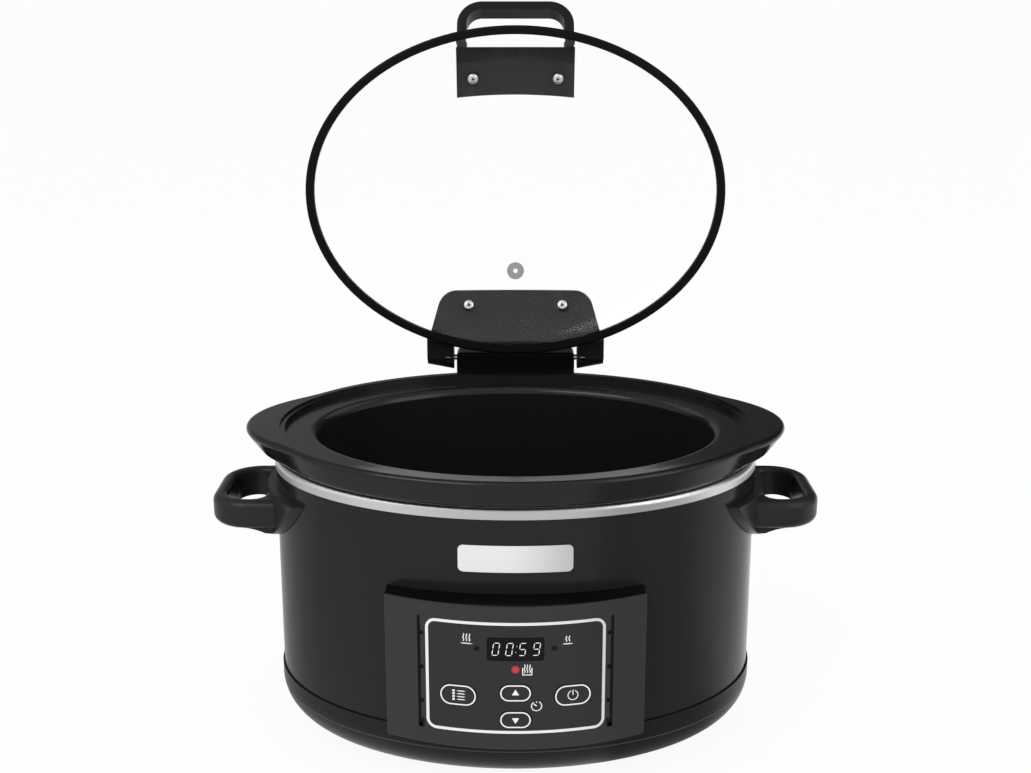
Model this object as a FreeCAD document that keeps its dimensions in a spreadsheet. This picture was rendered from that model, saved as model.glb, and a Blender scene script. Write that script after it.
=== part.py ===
import FreeCAD, Part
import math
import os
import re
import Sketcher

from FreeCAD import Placement, Rotation, Vector

# Slow cooker with an oval housing, a stoneware crock and a glass lid that hinges up at the rear.
# Millimetres, +X to the right, +Y to the rear, +Z up, origin on the table under the middle of the housing.

SIZES = {
    # oval housing and its base
    "half_width": 150.0,
    "half_depth": 113.3,
    "housing_wall": 2.2,
    "housing_top": 170.2,
    "parting_height": 39.0,
    "parting_gap": 0.5,
    "base_low": 5.5,
    "base_wall": 2.5,
    "band_proud": 1.0,
    "undercut_round": 26.0,
    "lip_low": 27.2,
    "lip_height": 6.0,
    "lip_wall": 2.0,
    "fit_gap": 0.2,
    "clear_gap": 0.3,
    # feet, bolts and bosses in the base
    "foot_radius": 10.0,
    "foot_taper": 1.5,
    "foot_x": 80.0,
    "foot_y": 53.0,
    "foot_plug": 3.0,
    "screw_radius": 2.0,
    "screw_head": 4.0,
    "head_height": 2.5,
    "base_screw_x": 62.0,
    "base_screw_y": 70.0,
    "boss_radius": 5.0,
    # silver trim ring
    "ring_height": 7.0,
    "ring_proud": 0.6,
    "ring_inset": 7.2,
    "ring_round": 3.2,
    # heating well, heater and insulation
    "well_wall": 1.2,
    "well_gap": 3.0,
    "well_low": 34.0,
    "flange_inset": 1.4,
    "flange_height": 1.2,
    "heater_low": 62.0,
    "heater_high": 118.0,
    "heater_thick": 1.6,
    "wrap_low": 56.0,
    "wrap_high": 128.0,
    "wrap_thick": 2.4,
    "fuse_radius": 2.5,
    "fuse_length": 16.0,
    "fuse_offset": 34.0,
    "sensor_radius": 7.0,
    "sensor_height": 5.0,
    "sensor_offset": 36.0,
    # stoneware crock
    "crock_top_x": 137.0,
    "crock_top_y": 102.0,
    "crock_foot_x": 124.0,
    "crock_foot_y": 90.0,
    "crock_low": 38.5,
    "crock_round": 14.0,
    "bowl_top_x": 123.6,
    "bowl_top_y": 94.0,
    "bowl_foot_x": 113.0,
    "bowl_foot_y": 82.0,
    "bowl_floor": 48.0,
    "bowl_round": 13.0,
    "bowl_lip": 5.0,
    "shoulder_inset": 4.0,
    "rim_low": 178.6,
    "rim_top": 195.1,
    "rim_half_depth": 123.7,
    "rim_half_length": 153.5,
    "rim_slope": 4.0,
    "rim_bevel": 2.6,
    "rim_under": 4.0,
    "seat_half_x": 143.9,
    "seat_half_y": 112.3,
    "seat_floor": 190.6,
    "step_wide": 3.0,
    "step_deep": 1.4,
    "ear_tip": 170.5,
    "ear_wide": 100.0,
    "ear_slope": 12.0,
    "ear_blend": 30.0,
    # control panel
    "panel_half": 74.5,
    "panel_low": 37.5,
    "panel_high": 125.6,
    "panel_front": 129.9,
    "panel_arc": 158.0,
    "panel_wall": 3.0,
    "panel_edge": 1.5,
    "panel_round": 0.8,
    "frame_half": 51.0,
    "frame_tall": 34.2,
    "frame_corner": 6.0,
    "frame_line": 1.9,
    "frame_proud": 0.4,
    "frame_mid": 81.75,
    "fascia_thick": 1.5,
    "window_inset_x": 4.0,
    "window_inset_z": 2.5,
    "slot_x": 54.6,
    "slot_half": 34.5,
    "slot_width": 1.7,
    "slot_depth": 2.2,
    "notch_reach": 1.6,
    "notch_tall": 2.2,
    "notch_top": 105.8,
    "notch_step": 20.9,
    "last_notch": 50.0,
    "last_tall": 5.4,
    "display_half": 15.9,
    "display_tall": 6.9,
    "display_mid": 99.6,
    "display_corner": 1.5,
    "display_thick": 1.0,
    "module_inset": 1.2,
    "heat_lamp_x": 21.7,
    "heat_lamp_radius": 1.4,
    "warm_lamp_radius": 2.5,
    "warm_lamp_z": 87.2,
    "board_front": 116.0,
    "board_thick": 1.6,
    "board_half": 55.0,
    "board_tall": 31.0,
    "post_x": 51.5,
    "post_z": 27.0,
    "post_radius": 2.2,
    # push buttons
    "side_button_x": 32.4,
    "side_button_z": 70.2,
    "side_button_half": 10.6,
    "side_button_tall": 6.4,
    "arrow_half": 8.9,
    "arrow_tall": 5.2,
    "up_button_z": 72.9,
    "down_button_z": 56.3,
    "button_proud": 0.4,
    "button_gap": 0.35,
    "button_flange": 0.8,
    "flange_thick": 1.0,
    "button_round": 0.3,
    "button_travel": 0.8,
    "stem_radius": 2.0,
    "switch_half": 3.0,
    "switch_tall": 3.5,
    # power board in the base
    "power_half_x": 38.0,
    "power_half_y": 28.0,
    "power_x": 0.0,
    "power_y": -46.0,
    "power_z": 13.0,
    "relay_x": 19.0,
    "relay_y": 15.0,
    "relay_z": 15.0,
    "cap_radius": 6.5,
    "cap_height": 17.0,
    # side handles
    "handle_reach": 38.6,
    "handle_half": 38.0,
    "handle_low": 135.5,
    "handle_high": 153.5,
    "handle_bar": 9.0,
    "handle_corner": 24.0,
    "handle_edge": 5.0,
    "gap_corner": 8.0,
    "gap_edge": 3.4,
    "saddle_thick": 5.5,
    "saddle_low": 123.6,
    "saddle_high": 158.5,
    "saddle_arc": 72.5,
    "cove_reach": 22.0,
    "cove_arc": 42.5,
    "handle_screw_y": 20.0,
    "handle_screw_z": 145.0,
    # badge plate
    "badge_half": 32.5,
    "badge_tall": 8.0,
    "badge_z": 147.1,
    "badge_corner": 3.0,
    "badge_thick": 1.2,
    # cord inlet
    "inlet_z": 62.0,
    "inlet_radius": 7.0,
    "inlet_bore": 4.0,
    "inlet_flange": 10.0,
    "inlet_proud": 5.0,
    # hinge at the rear
    "hinge_y": 115.6,
    "hinge_z": 206.5,
    "open_angle": 91.85,
    "pin_radius": 2.0,
    "pin_fit": 0.06,
    "pin_half": 60.2,
    "post_half": 41.2,
    "post_front": 112.5,
    "post_back": 138.0,
    "post_top": 210.2,
    "post_round": 2.2,
    "post_corner": 3.0,
    "post_shoulder": 9.0,
    "tongue_half": 21.5,
    "tongue_front": 126.5,
    "tongue_back": 134.5,
    "tongue_low": 118.0,
    "socket_half": 33.0,
    "socket_low": 106.0,
    "socket_high": 168.0,
    "socket_back": 141.5,
    "socket_round": 5.0,
    "socket_screw_x": 27.5,
    "socket_screw_z": 140.0,
    "cover_screw_inset": 8.0,
    # glass lid, as it lies closed
    "lid_plane": 195.5,
    "lid_half_x": 141.5,
    "lid_half_y": 110.3,
    "lid_ring_width": 5.8,
    "lid_ring_half": 2.7,
    "lid_ring_round": 1.6,
    "seal_low": 191.0,
    "glass_inset": 2.5,
    "glass_thick": 4.0,
    "dome_rise": 24.0,
    "dome_sink": 10.0,
    "vent_y": 55.9,
    "vent_radius": 5.9,
    "vent_bore": 1.6,
    "vent_collar": 4.0,
    "vent_flange": 1.4,
    # lid handle and hinge bracket
    "plate_thick": 4.2,
    "grip_half": 39.7,
    "grip_rear": 62.8,
    "grip_front": 96.5,
    "grip_reach": 127.0,
    "grip_bar": 6.6,
    "grip_deep": 13.0,
    "grip_tilt": 28.0,
    "grip_corner": 17.0,
    "grip_root": 84.0,
    "grip_lift": 12.5,
    "grip_edge": 1.6,
    "grip_hollow": 2.1,
    "grip_sweep": 381.0,
    "grip_screw_x": 28.8,
    "grip_screw_y": 77.0,
    "bracket_front": 69.5,
    "bracket_rear": 104.0,
    "bracket_narrow": 51.0,
    "bracket_wide": 61.0,
    "bracket_corner": 13.0,
    "bracket_screw_x": 32.8,
    "bracket_screw_y": 79.7,
    "knuckle_inner": 43.0,
    "knuckle_outer": 61.4,
    "knuckle_radius": 8.0,
    "knuckle_tip": 4.6,
    "arm_front": 98.0,
    "arm_round": 6.0,
    "pocket_inner": 44.8,
    "pocket_outer": 48.8,
    "pocket_half": 1.6,
    "lid_screw_head": 3.7,
    "lid_screw_dome": 1.8,
}

doc = FreeCAD.newDocument("slow_cooker")
sheet = doc.addObject("Spreadsheet::Sheet", "Sizes")
nodes = []

NEAR = 1e-4
ABOUT = 2.0
TURNS = {
    "x": Rotation(Vector(0, 1, 0), 90),
    "y": Rotation(Vector(1, 0, 0), -90),
    "z": Rotation(),
}
BOTH_SIDES = ("-", "")


def fill_sheet():
    for row, (alias, value) in enumerate(SIZES.items(), start=1):
        sheet.set(f"A{row}", alias)
        sheet.set(f"B{row}", str(value))
        sheet.setAlias(f"B{row}", alias)
    doc.recompute()


def size(alias):
    return float(sheet.get(alias))


def tie(obj, formulas):
    # every size has an underscore in its name, which marks it in a formula
    for path, formula in formulas.items():
        obj.setExpression(path, re.sub(r"[a-z]+(?:_[a-z]+)+", r"Sizes.\g<0>", formula))


def stand(obj, x="0", y="0", z="0"):
    tie(obj, {"Placement.Base.x": x, "Placement.Base.y": y, "Placement.Base.z": z})
    return obj


def block(x, y, z):
    obj = doc.addObject("Part::Box", "Block")
    ranges = {"Length": x, "Width": y, "Height": z}
    tie(obj, {side: f"({high}) - ({low})" for side, (low, high) in ranges.items()})
    return stand(obj, x[0], y[0], z[0])


def either_way(half):
    return (f"-({half})", half)


def rod(axis, radius, length, x="0", y="0", z="0"):
    obj = doc.addObject("Part::Cylinder", "Rod")
    obj.Placement = Placement(Vector(), TURNS[axis])
    tie(obj, {"Radius": radius, "Height": length})
    return stand(obj, x, y, z)


def cone(axis, start_radius, end_radius, length, x="0", y="0", z="0"):
    obj = doc.addObject("Part::Cone", "Cone")
    obj.Placement = Placement(Vector(), TURNS[axis])
    tie(obj, {"Radius1": start_radius, "Radius2": end_radius, "Height": length})
    return stand(obj, x, y, z)


def ellipse(half_x, half_y, z):
    obj = doc.addObject("Part::Ellipse", "Ellipse")
    tie(obj, {"MajorRadius": half_x, "MinorRadius": half_y})
    return stand(obj, z=z)


def oval(half_x, half_y, low, high):
    obj = doc.addObject("Part::Extrusion", "Oval")
    obj.Base = ellipse(half_x, half_y, low)
    obj.DirMode = "Custom"
    obj.Dir = Vector(0, 0, 1)
    obj.Solid = True
    tie(obj, {"LengthFwd": f"({high}) - ({low})"})
    return obj


def body_oval(grow, low, high):
    # the housing's own oval, grown or shrunk all round
    return oval(f"half_width + ({grow})", f"half_depth + ({grow})", low, high)


def taper(lower, upper):
    obj = doc.addObject("Part::Loft", "Taper")
    obj.Sections = [ellipse(*lower), ellipse(*upper)]
    obj.Solid = True
    obj.Ruled = True
    return obj


def cut(base, *tools):
    for tool in tools:
        obj = doc.addObject("Part::Cut", "Cut")
        obj.Base = base
        obj.Tool = tool
        base = obj
    return base


def join(*shapes):
    obj = doc.addObject("Part::MultiFuse", "Join")
    obj.Shapes = list(shapes)
    obj.Refine = True
    return obj


def meet(*shapes):
    obj = doc.addObject("Part::MultiCommon", "Meet")
    obj.Shapes = list(shapes)
    return obj


def group(*shapes):
    obj = doc.addObject("Part::Compound", "Group")
    obj.Links = list(shapes)
    return obj


def moved(obj, place):
    carrier = group(obj)
    carrier.Placement = place
    return carrier


def soften(base, radius, chosen):
    doc.recompute()
    obj = doc.addObject("Part::Fillet", "Fillet")
    obj.Base = base
    picked = [i for i, edge in enumerate(base.Shape.Edges, start=1) if chosen(edge)]
    obj.Edges = [(i, radius, radius) for i in picked]
    return obj


def at_height(*levels):
    def chosen(edge):
        box = edge.BoundBox
        return any(abs(box.ZMin - z) < NEAR and abs(box.ZMax - z) < NEAR for z in levels)
    return chosen


def along(axis, keep=None):
    # straight edges that run along one axis
    def chosen(edge):
        box = edge.BoundBox
        spans = {"x": box.XLength, "y": box.YLength, "z": box.ZLength}
        runs = spans.pop(axis) > NEAR and max(spans.values()) < NEAR
        return runs and (keep is None or keep(edge.CenterOfMass))
    return chosen


def node(obj, label, place=None):
    obj.Label = label
    if place is not None:
        obj.Placement = place
    nodes.append(obj)


def tablet(half_x, half_z, corner, z, y):
    # a rounded rectangle seen from the front, run through the depth range y
    sides = block(either_way(half_x), y, (f"({z}) - ({half_z})", f"({z}) + ({half_z})"))
    return soften(sides, corner, along("y"))


def plane_of(body, role):
    return next(item for item in body.Origin.OriginFeatures if item.Role == role)


def outline_on(body, role, points):
    # a closed outline whose corners are each held by two dimensions from the origin
    sketch = body.newObject("Sketcher::SketchObject", f"{body.Name}_outline")
    sketch.AttachmentSupport = [(plane_of(body, role), "")]
    sketch.MapMode = "FlatFace"
    count = len(points)
    angles = [2 * math.pi * i / count for i in range(count)]
    spots = [Vector(math.cos(angle), math.sin(angle), 0) for angle in angles]
    for i in range(count):
        sketch.addGeometry(Part.LineSegment(spots[i], spots[(i + 1) % count]), False)
    for i in range(count):
        sketch.addConstraint(Sketcher.Constraint("Coincident", i, 2, (i + 1) % count, 1))
    for i, corner in enumerate(points):
        for kind, formula in zip(("DistanceX", "DistanceY"), corner):
            index = sketch.addConstraint(Sketcher.Constraint(kind, -1, 1, i, 1, 1.0))
            tie(sketch, {f"Constraints[{index}]": formula})
    return sketch


def padded(name, role, points, length):
    body = doc.addObject("PartDesign::Body", name)
    pad = body.newObject("PartDesign::Pad", f"{name}_pad")
    pad.Profile = outline_on(body, role, points)
    tie(pad, {"Length": length})
    return body


def turned(name, points):
    # radius and height pairs, spun about the upright axis
    body = doc.addObject("PartDesign::Body", name)
    spin = body.newObject("PartDesign::Revolution", f"{name}_spin")
    sketch = outline_on(body, "XZ_Plane", points)
    spin.Profile = sketch
    spin.ReferenceAxis = (sketch, ["V_Axis"])
    spin.Angle = 360.0
    return body


def corners(x, y):
    return [(f"{a}({x})", f"{b}({y})") for a in BOTH_SIDES for b in BOTH_SIDES]


# the oval shell and its base


def make_base_pan():
    low = size("base_low")
    belly = soften(
        body_oval("band_proud", "base_low", "parting_height - parting_gap"),
        size("undercut_round"),
        at_height(low),
    )
    lip = body_oval("-housing_wall - fit_gap", "lip_low", "parting_height + lip_height")
    cavity = soften(
        body_oval("band_proud - base_wall", "base_low + base_wall", "parting_height - lip_height"),
        size("undercut_round") - size("base_wall"),
        at_height(low + size("base_wall")),
    )
    throat = body_oval("-housing_wall - fit_gap - lip_wall", "lip_low", "parting_height + 2 * lip_height")
    pillars = [
        rod("z", "boss_radius", "power_z - base_low - base_wall",
            f"power_x + {x}", f"power_y + {y}", "base_low + base_wall")
        for x, y in corners("power_half_x - boss_radius", "power_half_y - boss_radius")
    ]
    screw_holes = [
        rod("z", "screw_radius + fit_gap", "base_low + 2 * base_wall", x, y)
        for x, y in corners("base_screw_x", "base_screw_y")
    ]
    plug_holes = [
        rod("z", "foot_plug + fit_gap", "base_low + 2 * base_wall", x, y) for x, y in foot_spots()
    ]
    shell = cut(join(belly, lip), cavity, throat)
    node(cut(join(shell, *pillars), *screw_holes, *plug_holes), "base_pan")


def foot_spots():
    # four near the corners and one under the middle of the crock
    return corners("foot_x", "foot_y") + [("0", "0")]


def make_feet():
    feet = []
    for x, y in foot_spots():
        pad = cone("z", "foot_radius - foot_taper", "foot_radius", "base_low", x, y)
        plug = rod("z", "foot_plug", "base_wall", x, y, "base_low")
        feet.append(join(pad, plug))
    node(group(*feet), "feet")


def make_base_screws():
    screws = []
    for x, y in corners("base_screw_x", "base_screw_y"):
        head = rod("z", "screw_head", "head_height", x, y, "base_low - head_height")
        shank = rod("z", "screw_radius", "4 * base_wall", x, y, "base_low")
        screws.append(join(head, shank))
    node(group(*screws), "base_screws")


def make_outer_housing():
    tube = cut(
        body_oval("0", "parting_height", "housing_top"),
        body_oval("-housing_wall", "parting_height", "housing_top"),
    )
    handle_holes = [
        rod("x", "screw_radius + fit_gap", "2 * half_width + 2 * band_proud",
            "-half_width - band_proud", f"{side}handle_screw_y", "handle_screw_z")
        for side in BOTH_SIDES
    ]
    socket_holes = [
        rod("y", "screw_radius + fit_gap", "half_depth",
            f"{side}socket_screw_x", "half_depth / 2", "socket_screw_z")
        for side in BOTH_SIDES
    ]
    inlet_hole = rod("y", "inlet_radius + fit_gap", "half_depth", y="half_depth / 2", z="inlet_z")
    wire_slot = block(
        either_way("switch_half * 3"),
        ("-half_depth - band_proud", "-half_depth / 2"),
        ("frame_mid - switch_half", "frame_mid + switch_half"),
    )
    node(cut(tube, *handle_holes, *socket_holes, inlet_hole, wire_slot), "outer_housing")


def make_trim_ring():
    top = at_height(size("housing_top") + size("ring_height"))
    outer = body_oval("ring_proud", "housing_top", "housing_top + ring_height")
    ring = soften(outer, size("ring_round"), top)
    throat = body_oval("-ring_inset", "housing_top", "housing_top + ring_height")
    pocket = body_oval("fit_gap - flange_inset", "housing_top", "housing_top + flange_height + fit_gap")
    node(cut(ring, throat, pocket), "trim_ring")


# the heated well


def well_oval(grow, low, high):
    return oval(f"crock_top_x + well_gap + ({grow})", f"crock_top_y + well_gap + ({grow})", low, high)


def make_heating_well():
    wall = well_oval("well_wall", "well_low", "housing_top + flange_height")
    flange = body_oval("-flange_inset", "housing_top", "housing_top + flange_height")
    inside = well_oval("0", "well_low + well_wall", "housing_top + 2 * flange_height")
    legs = [
        rod("z", "boss_radius", "well_low - base_low - base_wall", x, y, "base_low + base_wall")
        for x, y in corners("base_screw_x", "base_screw_y")
    ]
    pilots = [
        rod("z", "screw_radius + fit_gap", "4 * base_wall", x, y, "base_low")
        for x, y in corners("base_screw_x", "base_screw_y")
    ]
    node(cut(join(cut(join(wall, flange), inside), *legs), *pilots), "heating_well")


def make_heater():
    inner = "well_wall + fit_gap"
    outer = f"{inner} + heater_thick"
    band = cut(well_oval(outer, "heater_low", "heater_high"), well_oval(inner, "heater_low", "heater_high"))
    node(band, "heater_band")
    wrap_in = f"{outer} + fit_gap"
    wrap_out = f"{wrap_in} + wrap_thick - fit_gap"
    sleeve = cut(well_oval(wrap_out, "wrap_low", "wrap_high"), well_oval(wrap_in, "wrap_low", "wrap_high"))
    node(sleeve, "insulation_wrap")


def make_thermal_parts():
    fuse = rod("x", "fuse_radius", "fuse_length",
               "-fuse_length / 2", "fuse_offset", "well_low - fuse_radius - fit_gap")
    node(fuse, "thermal_fuse")
    sensor = rod("z", "sensor_radius", "sensor_height", "sensor_offset",
                 z="well_low - sensor_height - fit_gap")
    node(sensor, "temperature_sensor")


# the stoneware crock


def crock_rim():
    # an oval with a broad ear at each end; the walls slope in towards the underside
    low, high = "rim_low", "rim_top"
    body = taper(
        ("rim_half_length - rim_slope", "rim_half_depth - rim_slope", low),
        ("rim_half_length", "rim_half_depth", high))
    ears = taper(("ear_tip - ear_slope", "ear_wide - ear_slope", low), ("ear_tip", "ear_wide", high))
    rim = join(body, ears)
    tall = size("rim_top") - size("rim_low")

    def is_neck(edge):
        return edge.BoundBox.ZLength > tall - NEAR and abs(edge.CenterOfMass.y) > ABOUT

    rim = soften(rim, size("ear_blend"), is_neck)
    rim = soften(rim, size("rim_bevel"), at_height(size("rim_top")))
    return soften(rim, size("rim_under"), at_height(size("rim_low")))


def make_crock():
    shoulder = body_oval("-shoulder_inset", "housing_top + ring_height + clear_gap", "rim_low + rim_under")
    wall = soften(
        taper(("crock_foot_x", "crock_foot_y", "crock_low"),
              ("crock_top_x", "crock_top_y", "rim_low + rim_under")),
        size("crock_round"), at_height(size("crock_low")))
    bowl = soften(
        taper(("bowl_foot_x", "bowl_foot_y", "bowl_floor"), ("bowl_top_x", "bowl_top_y", "seat_floor")),
        size("bowl_round"), at_height(size("bowl_floor")))
    above = "rim_top + rim_bevel"
    seat = oval("seat_half_x", "seat_half_y", "seat_floor", above)
    step = oval("seat_half_x + step_wide", "seat_half_y + step_wide", "rim_top - step_deep", above)
    hollow = cut(join(crock_rim(), shoulder, wall), bowl, seat, step)
    mouth = 2 * size("bowl_top_x") + ABOUT
    level = at_height(size("seat_floor"))

    def is_mouth(edge):
        return level(edge) and edge.BoundBox.XLength < mouth

    node(soften(hollow, size("bowl_lip"), is_mouth), "crock")


# the control panel

PANEL_AXIS = "panel_arc - panel_front"
PANEL_DEPTH = ("-panel_front - panel_wall", "0")


def panel_drum(grow, low="panel_low", high="panel_high"):
    return rod("z", f"panel_arc + ({grow})", f"({high}) - ({low})", y=PANEL_AXIS, z=low)


def panel_skin(outer, inner):
    return cut(panel_drum(outer), panel_drum(inner))


def panel_face(x):
    # the depth of the curved face at a place across the panel
    axis = size("panel_arc") - size("panel_front")
    return axis - math.sqrt(size("panel_arc") ** 2 - x ** 2)


def panel_angle(x):
    return math.degrees(math.asin(x / size("panel_arc")))


def on_panel_face(edge):
    axis = size("panel_arc") - size("panel_front")
    ends = [math.hypot(end.X, end.Y - axis) for end in edge.Vertexes]
    return all(abs(reach - size("panel_arc")) < NEAR for reach in ends)


def make_bezel():
    sides = block(either_way("panel_half"), PANEL_DEPTH, ("panel_low", "panel_high"))
    sides = soften(sides, size("panel_edge"), along("y"))
    inner = block(
        either_way("panel_half - panel_wall"),
        PANEL_DEPTH,
        ("panel_low + panel_wall", "panel_high - panel_wall"))
    hollow = meet(inner, panel_drum("-panel_wall"))
    recess = meet(
        tablet("frame_half", "frame_tall", size("frame_corner"), "frame_mid", PANEL_DEPTH),
        panel_skin("panel_wall", "-fascia_thick"))
    inner_corner = size("frame_corner") - size("frame_line")
    window = tablet(
        "frame_half - window_inset_x", "frame_tall - window_inset_z", inner_corner, "frame_mid", PANEL_DEPTH)
    posts = [
        rod("y", "post_radius", "panel_front - board_front", x, "-panel_front", f"frame_mid + {z}")
        for x, z in corners("post_x", "post_z")
    ]
    posts = [meet(post, panel_drum("-panel_wall / 2")) for post in posts]
    front = soften(meet(sides, panel_drum("0")), size("panel_round"), on_panel_face)
    shell = cut(front, hollow, recess, window)
    body = body_oval("fit_gap", "0", "housing_top")
    band = body_oval("band_proud + fit_gap", "0", "parting_height")
    node(cut(join(shell, *posts), body, band, *side_grooves()), "control_bezel")


def side_grooves():
    # a slot on each side of the frame, with small notches down its inner edge
    floor = "panel_arc - panel_front - sqrt((panel_arc - slot_depth)^2 - slot_x^2)"
    depth = ("-panel_front", floor)
    levels = [(f"notch_top - {step} * notch_step", "notch_tall") for step in range(3)]
    levels.append(("last_notch", "last_tall"))
    tools = []
    for side in BOTH_SIDES:
        spot = f"{side}slot_x"
        width = (f"{spot} - slot_width / 2", f"{spot} + slot_width / 2")
        tools.append(block(width, depth, ("frame_mid - slot_half", "frame_mid + slot_half")))
        reach = (spot, f"{spot} + notch_reach") if side == "-" else (f"{spot} - notch_reach", spot)
        for level, tall in levels:
            tools.append(block(reach, depth, (f"{level} - {tall} / 2", f"{level} + {tall} / 2")))
    return tools


def button_places():
    # name, place across, height, half length and half height of each push button
    return [
        ("menu_button", "-side_button_x", "side_button_z", "side_button_half", "side_button_tall"),
        ("up_button", "0", "up_button_z", "arrow_half", "arrow_tall"),
        ("down_button", "0", "down_button_z", "arrow_half", "arrow_tall"),
        ("power_button", "side_button_x", "side_button_z", "side_button_half", "side_button_tall"),
    ]


def across(place):
    sign = -1.0 if place.startswith("-") else 1.0
    return 0.0 if place == "0" else sign * size(place.lstrip("-"))


def button_place(x, z):
    spot = across(x)
    return Placement(Vector(spot, panel_face(spot), size(z)), Rotation(Vector(0, 0, 1), panel_angle(spot)))


def pill(half, tall, grow, depth):
    low, high = depth
    radius = f"{tall} + ({grow})"
    middle = block(either_way(f"{half} - {tall}"), depth, either_way(radius))
    ends = [
        rod("y", radius, f"({high}) - ({low})", f"{side}({half} - {tall})", low) for side in BOTH_SIDES
    ]
    return join(middle, *ends)


def make_fascia():
    plate = meet(
        tablet("frame_half - frame_line - fit_gap", "frame_tall - frame_line - fit_gap",
               size("frame_corner") - size("frame_line"), "frame_mid", PANEL_DEPTH),
        panel_skin("0", "-fascia_thick + fit_gap"))
    holes = [
        moved(pill(half, tall, "button_gap", either_way("2 * panel_wall")), button_place(x, z))
        for name, x, z, half, tall in button_places()
    ]
    display = tablet(
        "display_half + fit_gap", "display_tall + fit_gap", size("display_corner"),
        "display_mid", PANEL_DEPTH)
    lamps = [
        rod("y", f"{radius} + fit_gap", "panel_front", x, "-panel_front - panel_wall", z)
        for name, x, z, radius in lamp_places()
    ]
    node(cut(plate, *holes, display, *lamps), "panel_fascia")


def make_panel_frame():
    outer = tablet(
        "frame_half - fit_gap", "frame_tall - fit_gap", size("frame_corner"), "frame_mid", PANEL_DEPTH)
    inner = tablet(
        "frame_half - frame_line", "frame_tall - frame_line", size("frame_corner") - size("frame_line"),
        "frame_mid", PANEL_DEPTH)
    node(cut(meet(outer, panel_skin("frame_proud", "-fascia_thick + fit_gap")), inner), "panel_frame")


def make_display():
    window = tablet("display_half", "display_tall", size("display_corner"), "display_mid", PANEL_DEPTH)
    node(meet(window, panel_skin("0", "-display_thick")), "display_window")
    half, tall = "display_half - module_inset", "display_tall - module_inset"
    front = "panel_arc - panel_front - sqrt((panel_arc - display_thick - clear_gap)^2 - display_half^2)"
    heights = (f"display_mid - ({tall})", f"display_mid + ({tall})")
    module = block(either_way(half), (front, "-board_front"), heights)
    node(module, "display_module")


def lamp_places():
    return [
        ("high_lamp", "-heat_lamp_x", "display_mid", "heat_lamp_radius"),
        ("low_lamp", "heat_lamp_x", "display_mid", "heat_lamp_radius"),
        ("warm_lamp", "0", "warm_lamp_z", "warm_lamp_radius"),
    ]


def make_lamps():
    for name, x, z, radius in lamp_places():
        pipe = rod("y", radius, "panel_front + panel_wall - board_front", x, "-panel_front - panel_wall", z)
        node(meet(pipe, panel_drum("0")), name)


def switch_spot(x):
    # where a button's axis meets the top of its switch: place across and distance from the face
    spot = across(x)
    turn = math.radians(panel_angle(spot))
    distance = (-panel_face(spot) - size("board_front") - size("switch_tall")) / math.cos(turn)
    return spot - distance * math.sin(turn), distance - size("stem_radius") * abs(math.tan(turn))


def make_buttons():
    for name, x, z, half, tall in button_places():
        flange_front = f"fascia_thick + ({half} + button_flange)^2 / (2 * panel_arc) + clear_gap"
        flange_back = f"{flange_front} + flange_thick"
        cap = pill(half, tall, "0", ("-button_proud", flange_back))
        doc.recompute()
        front = -size("button_proud")
        cap = soften(cap, size("button_round"), lambda edge: edge.BoundBox.YMax < front + NEAR)
        flange = pill(half, tall, "button_flange", (flange_front, flange_back))
        reach = switch_spot(x)[1] - size("button_travel") - size("clear_gap")
        stem = rod("y", "stem_radius", f"{reach} - ({flange_front})", y=flange_front)
        node(join(cap, flange, stem), name, button_place(x, z))


def make_control_board():
    board = padded("control_board", "XZ_Plane", [
        ("-board_half", "-board_tall"),
        ("board_half", "-board_tall"),
        ("board_half", "board_tall"),
        ("-board_half", "board_tall"),
    ], "board_thick")
    node(stand(board, y="board_thick - board_front", z="frame_mid"), "control_board")
    switches = []
    for name, x, z, half, tall in button_places():
        spot = switch_spot(x)[0]
        switches.append(block(
            (f"{spot} - switch_half", f"{spot} + switch_half"),
            ("-board_front - switch_tall", "-board_front"),
            (f"{z} - switch_half", f"{z} + switch_half")))
    node(group(*switches), "tact_switches")


def make_power_board():
    board = padded("power_board", "XY_Plane", [
        ("-power_half_x", "-power_half_y"),
        ("power_half_x", "-power_half_y"),
        ("power_half_x", "power_half_y"),
        ("-power_half_x", "power_half_y"),
    ], "board_thick")
    node(stand(board, "power_x", "power_y", "power_z"), "power_board")
    top = "power_z + board_thick"
    relay = block(
        ("power_x - relay_x - boss_radius", "power_x - boss_radius"),
        ("power_y - relay_y / 2", "power_y + relay_y / 2"),
        (top, f"{top} + relay_z"))
    node(relay, "power_relay")
    node(rod("z", "cap_radius", "cap_height", "power_x + relay_x", "power_y", top), "power_capacitor")


# side handles and the badge


def handle_loop():
    tip = "half_width + handle_reach"
    levels = at_height(size("handle_low"), size("handle_high"))
    reach = size("half_width") + size("handle_reach")
    outer = block(("half_width - handle_bar", tip), either_way("handle_half"), ("handle_low", "handle_high"))
    outer = soften(outer, size("handle_corner"), along("z", lambda c: c.x > reach - NEAR))
    return soften(outer, size("handle_edge"), levels)


def finger_gap():
    tip = size("half_width") + size("handle_reach")
    gap = block(
        ("half_width + saddle_thick", "half_width + handle_reach - handle_bar"),
        either_way("handle_half - handle_bar"),
        ("saddle_low - handle_bar", "handle_high + handle_bar"))
    middle = tip - size("handle_reach") / 2
    gap = soften(gap, size("handle_corner") - size("handle_bar"), along("z", lambda c: c.x > middle))
    return soften(gap, size("gap_corner"), along("z", lambda c: c.x < middle))


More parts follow.
